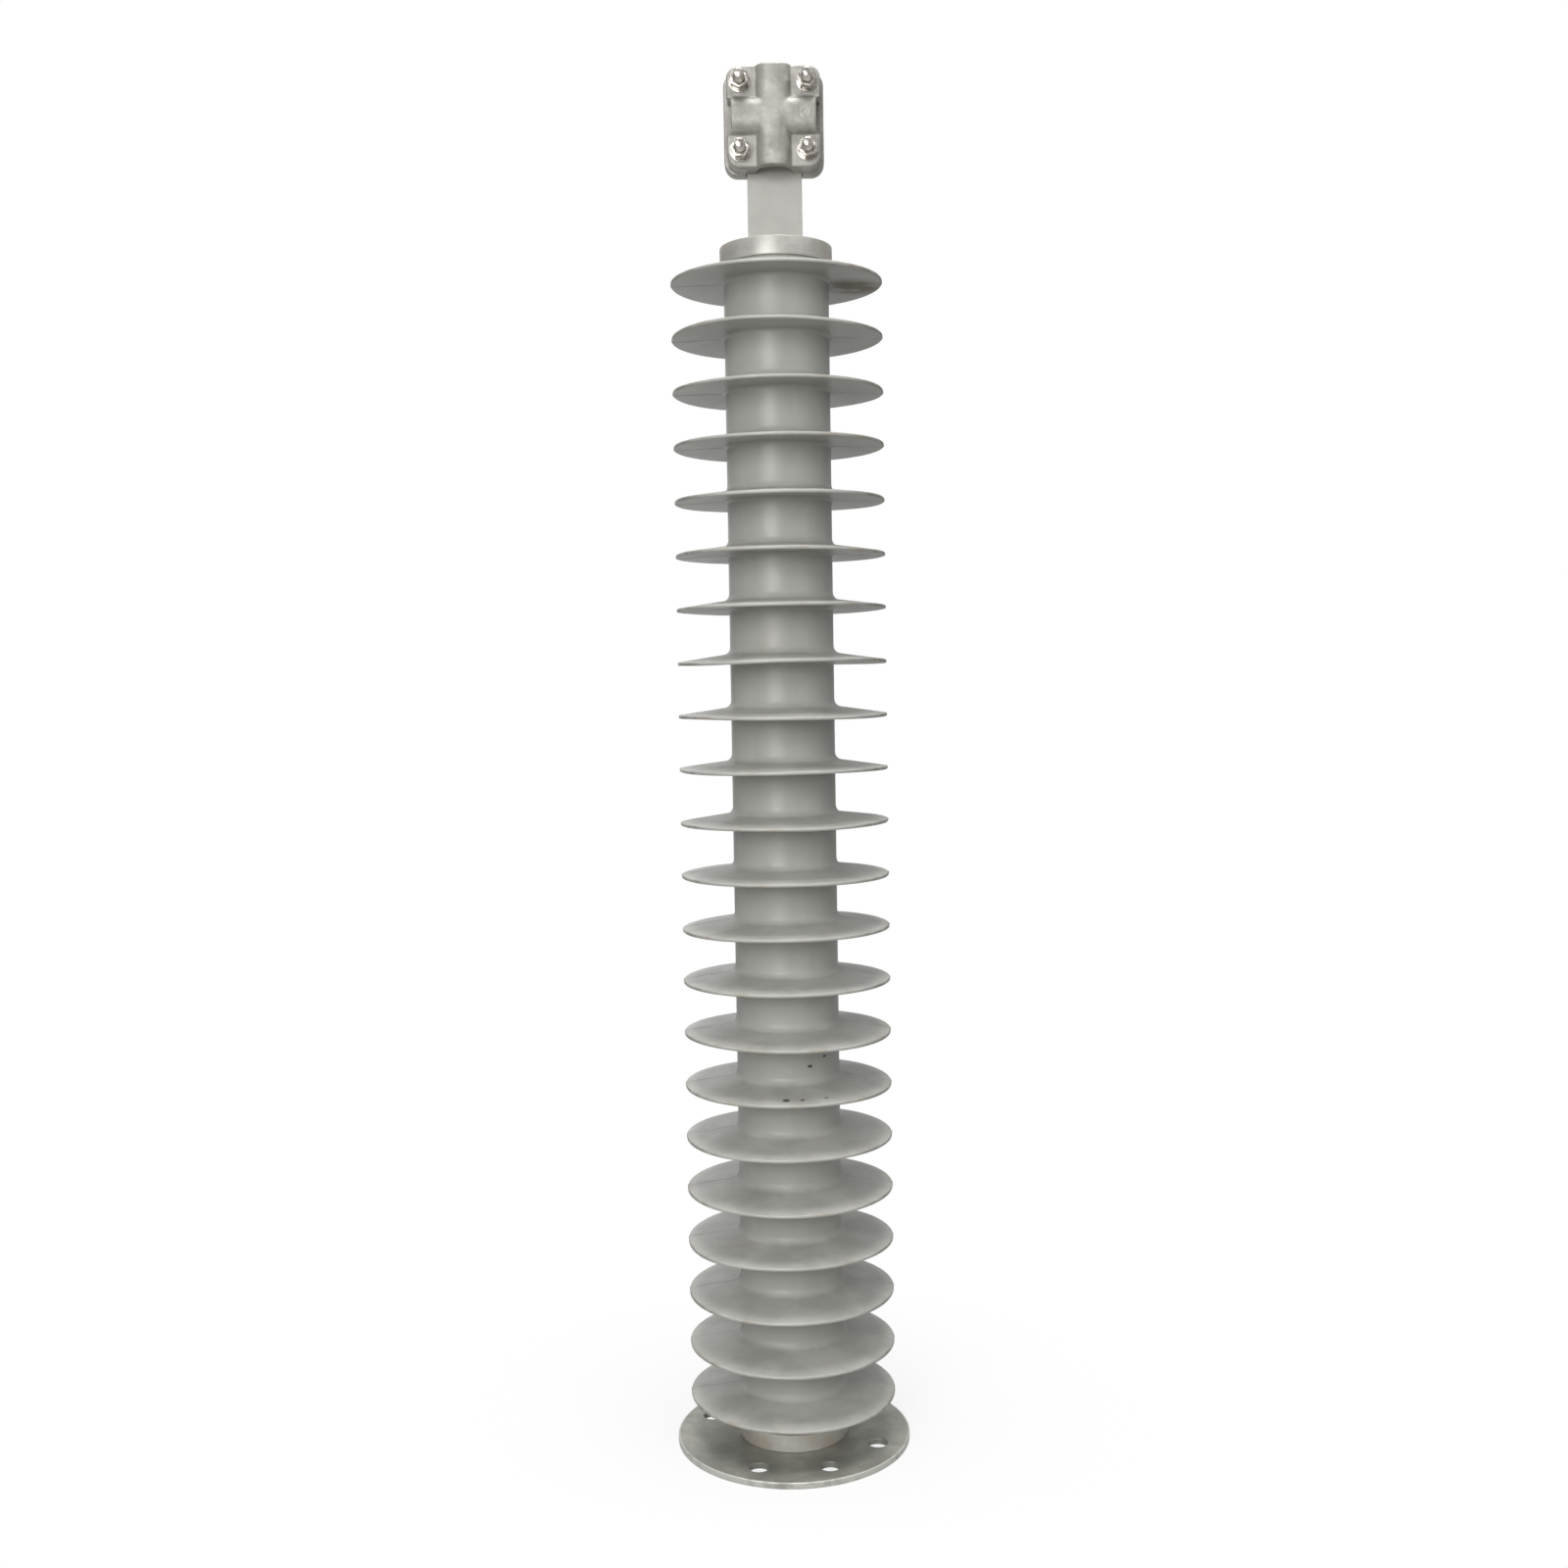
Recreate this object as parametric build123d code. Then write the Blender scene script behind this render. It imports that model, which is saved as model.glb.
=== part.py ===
"""Polymer-housed station-class surge arrester with a four-bolt line clamp.

The arrester stands on a drilled steel base plate. A glass-fibre tube holds a
spring-loaded column of metal-oxide discs between two aluminium end fittings.
A silicone rubber housing with thin sheds is moulded round the tube. The upper
end is closed by a cast terminal whose flat bar carries a two-part line clamp.
The origin is the centre of the base plate's underside, +Z is up, and the clamp
faces -Y. All sizes are in millimetres.
"""
from build123d import *
from math import cos, radians, sin, tan
import os

# Base plate: a flat disc with four mounting holes and one earthing hole on one circle
PLATE_DIAMETER = 182.0
PLATE_THICKNESS = 5.0
MOUNT_CIRCLE = 140.0
MOUNT_HOLE = 15.0
MOUNT_HOLE_COUNT = 4
MOUNT_HOLE_START = -112.5

# Glass-fibre tube
TUBE_OUTSIDE = 72.0
TUBE_INSIDE = 60.0
BOND_LINE = 0.15

# Silicone housing and its sheds
CORE_DIAMETER = 79.0
SHED_DIAMETER = 160.0
SHED_COUNT = 22
SHED_PITCH = 40.8
SHED_RIM = 2.4
SHED_TOP_SLOPE = 8.0
SHED_UNDER_SLOPE = 2.5
LOWER_COLLAR = 18.1
UPPER_COLLAR = 11.4

# End fittings
RING_DIAMETER = 85.0
RING_HEIGHT = 13.8
SPIGOT_LENGTH = 42.0
COLUMN_PLAY = 2.0

# Cover screws: one size holds the base plate from below and the terminal from above
SCREW_THREAD = 5.0
SCREW_HEAD = 10.0
SCREW_LENGTH = 12.6
SCREW_COUNT = 4
SCREW_CIRCLE = 64.0
THREAD_PLAY = 0.05
CLEAR_HOLE_PLAY = 0.25

# Metal-oxide column
DISC_DIAMETER = 46.0
DISC_HEIGHT = 42.0
DISCS_PER_STACK = 6
STACK_COUNT = 3
SPACER_HEIGHT = 30.0
SPRING_OUTSIDE = 44.0
SPRING_INSIDE = 20.0
SPRING_THICKNESS = 1.5
SPRING_HEIGHT = 4.0

# Cast terminal: round foot let into the upper fitting, with an upright flat bar
FOOT_DIAMETER = 75.0
FOOT_THICKNESS = 8.0
FOOT_PLAY = 0.2
BAR_WIDTH = 41.0
BAR_THICKNESS = 8.0
BAR_VISIBLE_HEIGHT = 53.8
BAR_TOP_SHORTFALL = 3.0

# Line clamp
BACK_PLATE_WIDTH = 75.0
BACK_PLATE_HEIGHT = 75.5
BACK_PLATE_WEB = 4.0
BACK_PLATE_CORNER = 10.0
CHANNEL_PLAY = 0.2
KEEPER_WIDTH = 69.5
KEEPER_HEIGHT = 73.8
KEEPER_CORNER = 9.0
KEEPER_DEPTH = 18.0
RIDGE_RADIUS = 15.5
RIDGE_RISE = 7.0
WAIST_DEPTH = 3.2
WAIST_HEIGHT = 26.0
GROOVE_RADIUS = 11.75
GROOVE_DEPTH = 15.6

# Clamp fasteners
BOLT_THREAD = 8.0
BOLT_LENGTH = 50.0
BOLT_PITCH_X = 50.0
BOLT_PITCH_Z = 50.0
BOLT_HOLE_PLAY = 0.4
WASHER_PLAY = 0.2
HEX_ACROSS_FLATS = 13.0
BOLT_HEAD_HEIGHT = 5.3
NUT_HEIGHT = 6.5
PLAIN_WASHER_DIAMETER = 16.0
PLAIN_WASHER_THICKNESS = 1.6
SPRING_WASHER_DIAMETER = 13.4
SPRING_WASHER_THICKNESS = 2.2
SPRING_WASHER_SLIT = 1.6

# Bore of the end fittings, clear of the column
FITTING_BORE = DISC_DIAMETER + 2 * COLUMN_PLAY

# Levels above the underside of the base plate
LOWER_RING_TOP = PLATE_THICKNESS + RING_HEIGHT
FIRST_RIM = LOWER_RING_TOP + LOWER_COLLAR
LAST_RIM = FIRST_RIM + (SHED_COUNT - 1) * SHED_PITCH
UPPER_RING_BOTTOM = LAST_RIM + SHED_RIM + UPPER_COLLAR
UPPER_RING_TOP = UPPER_RING_BOTTOM + RING_HEIGHT
FOOT_BOTTOM = UPPER_RING_TOP - FOOT_THICKNESS
STACK_HEIGHT = DISCS_PER_STACK * DISC_HEIGHT
DISCS_AND_SPACERS = STACK_COUNT * STACK_HEIGHT + (STACK_COUNT - 1) * SPACER_HEIGHT
CONTACT_HEIGHT = (FOOT_BOTTOM - PLATE_THICKNESS - DISCS_AND_SPACERS - 2 * SPRING_HEIGHT) / 2
FIRST_DISC = PLATE_THICKNESS + SPRING_HEIGHT + CONTACT_HEIGHT
TOP_SPRING_BOTTOM = FOOT_BOTTOM - SPRING_HEIGHT
CLAMP_BOTTOM = UPPER_RING_TOP + BAR_VISIBLE_HEIGHT
CLAMP_MIDDLE = CLAMP_BOTTOM + BACK_PLATE_HEIGHT / 2
BAR_TOP = CLAMP_BOTTOM + BACK_PLATE_HEIGHT - BAR_TOP_SHORTFALL

# Planes of the clamp, from front (-Y) to back (+Y)
PARTING_Y = -BAR_THICKNESS / 2
PAD_Y = PARTING_Y - KEEPER_DEPTH
CROWN_Y = PAD_Y - RIDGE_RISE
BACK_Y = -PARTING_Y + BACK_PLATE_WEB
WASHER_Y = PAD_Y - PLAIN_WASHER_THICKNESS
SPRING_WASHER_Y = WASHER_Y - SPRING_WASHER_THICKNESS
BOLT_TIP_Y = BACK_Y - BOLT_LENGTH


def profile(points):
    """Face in the XZ plane from (radius, height) points."""
    return make_face(Polyline([(r, 0, z) for r, z in points], close=True))


def turned(points):
    """Solid turned round the Z axis from (radius, height) points."""
    return revolve(profile(points), Axis.Z)


def tube_between(outside, inside, bottom, top):
    """Plain tube from its two diameters and two levels."""
    return turned([(inside / 2, bottom), (outside / 2, bottom), (outside / 2, top), (inside / 2, top)])


def slug(diameter, bottom, height):
    """Plain round block standing on a level."""
    return Pos(0, 0, bottom + height / 2) * Cylinder(diameter / 2, height)


def on_circle(diameter, angles, level=0.0):
    """Places on a circle about Z, one for each angle in degrees."""
    radius = diameter / 2
    return [Pos(radius * cos(radians(a)), radius * sin(radians(a)), level) for a in angles]


def even_angles(count, start=0.0):
    """Angles that divide a full turn evenly."""
    return [start + 360.0 * n / count for n in range(count)]


def countersunk(radius, head_radius, length):
    """Countersunk shape pointing down, with its head's face at Z = 0."""
    head_depth = head_radius - radius
    return turned([(0, 0), (head_radius, 0), (radius, -head_depth), (radius, -length), (0, -length)])


def base_screw_places():
    """Places of the base plate's screws, at the plate's underside and turned head down."""
    angles = even_angles(SCREW_COUNT, 180.0 / SCREW_COUNT)
    return [place * Rot(180, 0, 0) for place in on_circle(SCREW_CIRCLE, angles)]


def lid_screw_places():
    """Places of the terminal's screws, at the top of its foot."""
    angles = even_angles(SCREW_COUNT, 180.0 / SCREW_COUNT)
    return on_circle(SCREW_CIRCLE, angles, UPPER_RING_TOP)


def countersinks(body, places, thickness):
    """A plate or foot of a thickness with a countersunk clearance hole for each cover screw."""
    sink = countersunk(SCREW_THREAD / 2 + CLEAR_HOLE_PLAY, SCREW_HEAD / 2, 2 * thickness)
    for place in places:
        body -= place * sink
    return body


def tapped(body, places, start):
    """A fitting with a hole for each cover screw, from a depth below the screws' heads."""
    depth = SCREW_LENGTH - start + THREAD_PLAY
    for place in places:
        body -= place * Pos(0, 0, -start - depth / 2) * Cylinder(SCREW_THREAD / 2 + THREAD_PLAY, depth)
    return body


def base_plate():
    """Galvanised steel plate with its mounting holes and countersinks."""
    plate = slug(PLATE_DIAMETER, 0, PLATE_THICKNESS)
    hole = Cylinder(MOUNT_HOLE / 2, 3 * PLATE_THICKNESS)
    mounting = even_angles(MOUNT_HOLE_COUNT, MOUNT_HOLE_START)
    earthing = MOUNT_HOLE_START + 180.0 / MOUNT_HOLE_COUNT
    for place in on_circle(MOUNT_CIRCLE, mounting + [earthing]):
        plate -= place * hole
    return countersinks(plate, base_screw_places(), PLATE_THICKNESS)


def cover_screws():
    """Screws that hold the base plate to the lower fitting and the terminal to the upper one."""
    screw = countersunk(SCREW_THREAD / 2, SCREW_HEAD / 2, SCREW_LENGTH)
    return [place * screw for place in base_screw_places() + lid_screw_places()]


def fitting():
    """End fitting standing on Z = 0: a ring on a spigot that is bonded into the tube."""
    ring = RING_DIAMETER / 2
    spigot = TUBE_INSIDE / 2 - BOND_LINE
    top = RING_HEIGHT + SPIGOT_LENGTH
    bore = FITTING_BORE / 2
    return turned([(bore, 0), (ring, 0), (ring, RING_HEIGHT), (spigot, RING_HEIGHT), (spigot, top), (bore, top)])


def bottom_fitting():
    """Lower aluminium fitting, tapped from below for the base plate's screws."""
    return tapped(Pos(0, 0, PLATE_THICKNESS) * fitting(), base_screw_places(), PLATE_THICKNESS)


def top_fitting():
    """Upper aluminium fitting, bored out for the terminal's foot and tapped from above."""
    body = Pos(0, 0, UPPER_RING_TOP) * Rot(180, 0, 0) * fitting()
    seat = FOOT_DIAMETER + 2 * FOOT_PLAY
    body -= slug(seat, FOOT_BOTTOM, 2 * FOOT_THICKNESS)
    return tapped(body, lid_screw_places(), FOOT_THICKNESS)


def frp_tube():
    """Wound glass-fibre tube between the rings of the two fittings."""
    return tube_between(TUBE_OUTSIDE, TUBE_INSIDE, LOWER_RING_TOP, UPPER_RING_BOTTOM)


def shed_points(rim_bottom):
    """Corners of one shed's section, from its underside root round the rim to its top root."""
    core = CORE_DIAMETER / 2
    rim = SHED_DIAMETER / 2
    reach = rim - core
    rim_top = rim_bottom + SHED_RIM
    return [(core, rim_bottom + reach * tan(radians(SHED_UNDER_SLOPE))), (rim, rim_bottom),
            (rim, rim_top), (core, rim_top + reach * tan(radians(SHED_TOP_SLOPE)))]


def housing():
    """Silicone housing moulded in one piece: a core with evenly pitched thin sheds."""
    core = CORE_DIAMETER / 2
    bore = TUBE_OUTSIDE / 2
    points = [(bore, LOWER_RING_TOP), (core, LOWER_RING_TOP)]
    for shed in range(SHED_COUNT):
        points += shed_points(FIRST_RIM + shed * SHED_PITCH)
    return turned(points + [(core, UPPER_RING_BOTTOM), (bore, UPPER_RING_BOTTOM)])


def stack_starts():
    """Levels at which the stacks of discs begin."""
    return [FIRST_DISC + stack * (STACK_HEIGHT + SPACER_HEIGHT) for stack in range(STACK_COUNT)]


def mo_discs():
    """Metal-oxide discs of the column, in stacks with a spacer between them."""
    levels = [start + n * DISC_HEIGHT for start in stack_starts() for n in range(DISCS_PER_STACK)]
    return [slug(DISC_DIAMETER, level, DISC_HEIGHT) for level in levels]


def disc_spacers():
    """Aluminium spacers between the stacks of discs."""
    return [slug(DISC_DIAMETER, start - SPACER_HEIGHT, SPACER_HEIGHT) for start in stack_starts()[1:]]


def end_contacts():
    """Aluminium contact blocks that fill the column out at both ends."""
    levels = [FIRST_DISC - CONTACT_HEIGHT, TOP_SPRING_BOTTOM - CONTACT_HEIGHT]
    return [slug(DISC_DIAMETER, level, CONTACT_HEIGHT) for level in levels]


def disc_springs():
    """Conical steel springs that press the column together from both ends."""
    outer = SPRING_OUTSIDE / 2
    inner = SPRING_INSIDE / 2
    spring = turned([(outer, 0), (outer, SPRING_THICKNESS), (inner, SPRING_HEIGHT),
                     (inner, SPRING_HEIGHT - SPRING_THICKNESS)])
    return [Pos(0, 0, level) * spring for level in (PLATE_THICKNESS, TOP_SPRING_BOTTOM)]


def line_terminal():
    """Cast terminal: the foot that closes the fitting and the bar that carries the clamp."""
    height = BAR_TOP - UPPER_RING_TOP
    bar = Pos(0, 0, UPPER_RING_TOP + height / 2) * Box(BAR_WIDTH, BAR_THICKNESS, height)
    casting = slug(FOOT_DIAMETER, FOOT_BOTTOM, FOOT_THICKNESS) + bar
    return countersinks(casting, lid_screw_places(), FOOT_THICKNESS)


def clamp_slab(width, height, corner, front, back):
    """Plate with rounded corners, centred on the clamp and reaching from one Y to another."""
    plane = Plane(origin=(0, back, CLAMP_MIDDLE), x_dir=(1, 0, 0), z_dir=(0, -1, 0))
    return extrude(plane * RectangleRounded(width, height, corner), back - front)


def bolt_places(y):
    """Places of the clamp's bolts at a Y, turned so that a part built upwards points forwards."""
    half_x = BOLT_PITCH_X / 2
    half_z = BOLT_PITCH_Z / 2
    return [Pos(x, y, CLAMP_MIDDLE + z) * Rot(90, 0, 0) for z in (-half_z, half_z) for x in (-half_x, half_x)]


def drilled(body):
    """A clamp half with its four bolt holes."""
    hole = Cylinder(BOLT_THREAD / 2 + BOLT_HOLE_PLAY, 2 * BOLT_LENGTH)
    for place in bolt_places(PARTING_Y):
        body -= place * hole
    return body


def clamp_back_plate():
    """Rear half of the clamp, with a channel that takes the terminal's bar flush."""
    plate = clamp_slab(BACK_PLATE_WIDTH, BACK_PLATE_HEIGHT, BACK_PLATE_CORNER, PARTING_Y, BACK_Y)
    channel = Box(BAR_WIDTH + 2 * CHANNEL_PLAY, BAR_THICKNESS, 2 * BACK_PLATE_HEIGHT)
    return drilled(plate - Pos(0, 0, CLAMP_MIDDLE) * channel)


def crossed(radius, y, length_x, length_z):
    """Two round bars that cross at the clamp's middle, one upright and one level."""
    upright = Pos(0, y, CLAMP_MIDDLE) * Cylinder(radius, length_z)
    level = Pos(0, y, CLAMP_MIDDLE) * Rot(0, 90, 0) * Cylinder(radius, length_x)
    return upright + level


def crossed_slots(half_width, front, back, reach):
    """Two square slots that cross at the clamp's middle, between two Y planes."""
    middle = Pos(0, (front + back) / 2, CLAMP_MIDDLE)
    depth = back - front
    return middle * Box(2 * half_width, depth, reach) + middle * Box(reach, depth, 2 * half_width)


def clamp_keeper():
    """Front half of the clamp: four bolt pads and a cross of half-round ridges over two grooves."""
    body = clamp_slab(KEEPER_WIDTH, KEEPER_HEIGHT, KEEPER_CORNER, PAD_Y, PARTING_Y)
    inner_width = KEEPER_WIDTH - 2 * WAIST_DEPTH
    waist = Box(2 * WAIST_DEPTH, 2 * KEEPER_DEPTH, WAIST_HEIGHT)
    for side in (-1, 1):
        body -= Pos(side * KEEPER_WIDTH / 2, PAD_Y + KEEPER_DEPTH / 2, CLAMP_MIDDLE) * waist
    ridge_y = PAD_Y + RIDGE_RADIUS - RIDGE_RISE
    front_of_pads = clamp_slab(KEEPER_WIDTH, KEEPER_HEIGHT, KEEPER_CORNER, CROWN_Y, PAD_Y)
    body += crossed(RIDGE_RADIUS, ridge_y, inner_width, KEEPER_HEIGHT) & front_of_pads
    groove_y = PARTING_Y - GROOVE_DEPTH + GROOVE_RADIUS
    reach = 2 * KEEPER_HEIGHT
    body -= crossed(GROOVE_RADIUS, groove_y, reach, reach)
    body -= crossed_slots(GROOVE_RADIUS, groove_y, PARTING_Y, reach)
    return drilled(body)


def hexagon(height):
    """Hexagonal block standing on Z = 0."""
    return extrude(RegularPolygon(HEX_ACROSS_FLATS / 2, 6, major_radius=False), height)


def clamp_bolts():
    """Hexagon bolts passed from behind, their tips towards the front."""
    shank = slug(BOLT_THREAD, 0, BOLT_LENGTH)
    head = Rot(180, 0, 0) * hexagon(BOLT_HEAD_HEIGHT)
    return [place * (shank + head) for place in bolt_places(BACK_Y)]


def clamp_plain_washers():
    """Plain washers on the keeper's pads."""
    washer = tube_between(PLAIN_WASHER_DIAMETER, BOLT_THREAD + 2 * WASHER_PLAY, 0, PLAIN_WASHER_THICKNESS)
    return [place * washer for place in bolt_places(PAD_Y)]


def clamp_spring_washers():
    """Split spring washers, each with its slit turned another way."""
    ring = tube_between(SPRING_WASHER_DIAMETER, BOLT_THREAD + 2 * WASHER_PLAY, 0, SPRING_WASHER_THICKNESS)
    slit = Box(SPRING_WASHER_DIAMETER, SPRING_WASHER_SLIT, 4 * SPRING_WASHER_THICKNESS)
    slit = Pos(SPRING_WASHER_DIAMETER / 2, 0, SPRING_WASHER_THICKNESS / 2) * Rot(25, 0, 0) * slit
    washer = ring - slit
    return [place * Rot(0, 0, 75 * n) * washer for n, place in enumerate(bolt_places(WASHER_Y))]


def clamp_nuts():
    """Hexagon nuts, each stopped at another angle."""
    nut = hexagon(NUT_HEIGHT) - Cylinder(BOLT_THREAD / 2 + THREAD_PLAY, 3 * NUT_HEIGHT)
    return [place * Rot(0, 0, 17 * n) * nut for n, place in enumerate(bolt_places(SPRING_WASHER_Y))]


def pieces():
    """Every node's name with its solid or its group of like solids."""
    return {
        "base_plate": base_plate(),
        "cover_screws": cover_screws(),
        "bottom_fitting": bottom_fitting(),
        "frp_tube": frp_tube(),
        "housing": housing(),
        "mo_discs": mo_discs(),
        "disc_spacers": disc_spacers(),
        "end_contacts": end_contacts(),
        "disc_springs": disc_springs(),
        "top_fitting": top_fitting(),
        "line_terminal": line_terminal(),
        "clamp_back_plate": clamp_back_plate(),
        "clamp_keeper": clamp_keeper(),
        "clamp_bolts": clamp_bolts(),
        "clamp_plain_washers": clamp_plain_washers(),
        "clamp_spring_washers": clamp_spring_washers(),
        "clamp_nuts": clamp_nuts(),
    }


def main():
    """Write one STEP file for each node."""
    os.makedirs("parts", exist_ok=True)
    for name, shape in pieces().items():
        group = Compound(shape) if isinstance(shape, list) else shape
        export_step(group, f"parts/{name}.step")


main()
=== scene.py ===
"""Looks of a polymer-housed surge arrester, built round its packed construction model.

Every length is in metres, +Z is up and the line clamp faces -Y. Each sub-assembly is a
class: its fields hold its sizes, and its methods work out its surfaces and dress them.
"""
import logging
import math
from dataclasses import dataclass
from enum import Enum
from typing import Any, Callable, Iterable, Sequence

import bmesh
import bpy
import numpy as np
from mathutils import Matrix, Vector


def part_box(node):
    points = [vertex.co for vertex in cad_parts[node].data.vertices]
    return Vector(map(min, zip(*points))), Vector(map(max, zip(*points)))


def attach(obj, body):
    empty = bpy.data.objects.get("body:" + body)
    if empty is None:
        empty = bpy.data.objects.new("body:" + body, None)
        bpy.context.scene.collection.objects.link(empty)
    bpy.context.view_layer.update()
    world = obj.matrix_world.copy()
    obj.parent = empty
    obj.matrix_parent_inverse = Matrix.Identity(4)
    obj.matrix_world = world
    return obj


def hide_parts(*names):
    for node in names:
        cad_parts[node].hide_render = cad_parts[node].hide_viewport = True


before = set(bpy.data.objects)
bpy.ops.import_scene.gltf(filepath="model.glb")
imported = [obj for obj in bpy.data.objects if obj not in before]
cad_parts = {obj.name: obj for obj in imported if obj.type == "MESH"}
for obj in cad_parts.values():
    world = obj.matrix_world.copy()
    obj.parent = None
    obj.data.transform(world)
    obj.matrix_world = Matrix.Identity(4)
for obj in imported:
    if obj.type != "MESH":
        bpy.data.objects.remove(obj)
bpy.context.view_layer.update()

LOG = logging.getLogger("arrester")
MM = 0.001
BODY = "root"
WHITE = (1.0, 1.0, 1.0, 1.0)
SAME_POINT = 1e-6
ROUNDED_FROM = math.radians(32)
CRISP_FROM = math.radians(34)
Array = np.ndarray
Triple = tuple[float, float, float]
Colour = Triple
EVEN: Triple = (1.0, 1.0, 1.0)


class Ray(Enum):
    """Kinds of ray that the white surroundings are shown to."""

    CAMERA = "Is Camera Ray"
    GLOSSY = "Is Glossy Ray"
    TRANSMISSION = "Is Transmission Ray"


# ---------------------------------------------------------------- shader expressions


class Value:
    """A number, vector or colour inside a node tree, with its maths written as Python operators."""

    def __init__(self, graph: "Graph", socket: bpy.types.NodeSocket) -> None:
        """Keep the tree and the output socket that the value comes from."""
        self.graph = graph
        self.socket = socket

    def math(self, operation: str, *others: "Value | float") -> "Value":
        """Return a Math node's result with this value as its first input."""
        inputs = dict(enumerate((self, *others)))
        return self.graph.node("ShaderNodeMath", {"operation": operation}, inputs)

    def __add__(self, other: "Value | float") -> "Value":
        """Return the sum."""
        return self.math("ADD", other)

    __radd__ = __add__

    def __sub__(self, other: "Value | float") -> "Value":
        """Return this value less the other."""
        return self.math("SUBTRACT", other)

    def __rsub__(self, other: float) -> "Value":
        """Return a plain number less this value."""
        return self.graph.node("ShaderNodeMath", {"operation": "SUBTRACT"}, {0: other, 1: self})

    def __mul__(self, other: "Value | float") -> "Value":
        """Return the product."""
        return self.math("MULTIPLY", other)

    __rmul__ = __mul__

    def __abs__(self) -> "Value":
        """Return the size without its sign."""
        return self.math("ABSOLUTE")

    def step(self, low: float, high: float) -> "Value":
        """Return a smooth rise from 0 at low to 1 at high, or a fall if low is the greater.

        Args:
            low: The value where the result is 0.
            high: The value where the result is 1.

        Returns:
            The share between 0 and 1.
        """
        ends = {1: min(low, high), 2: max(low, high), 3: float(low > high), 4: float(low < high)}
        settings = {"interpolation_type": "SMOOTHSTEP", "clamp": True}
        return self.graph.node("ShaderNodeMapRange", settings, {0: self} | ends)


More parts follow.
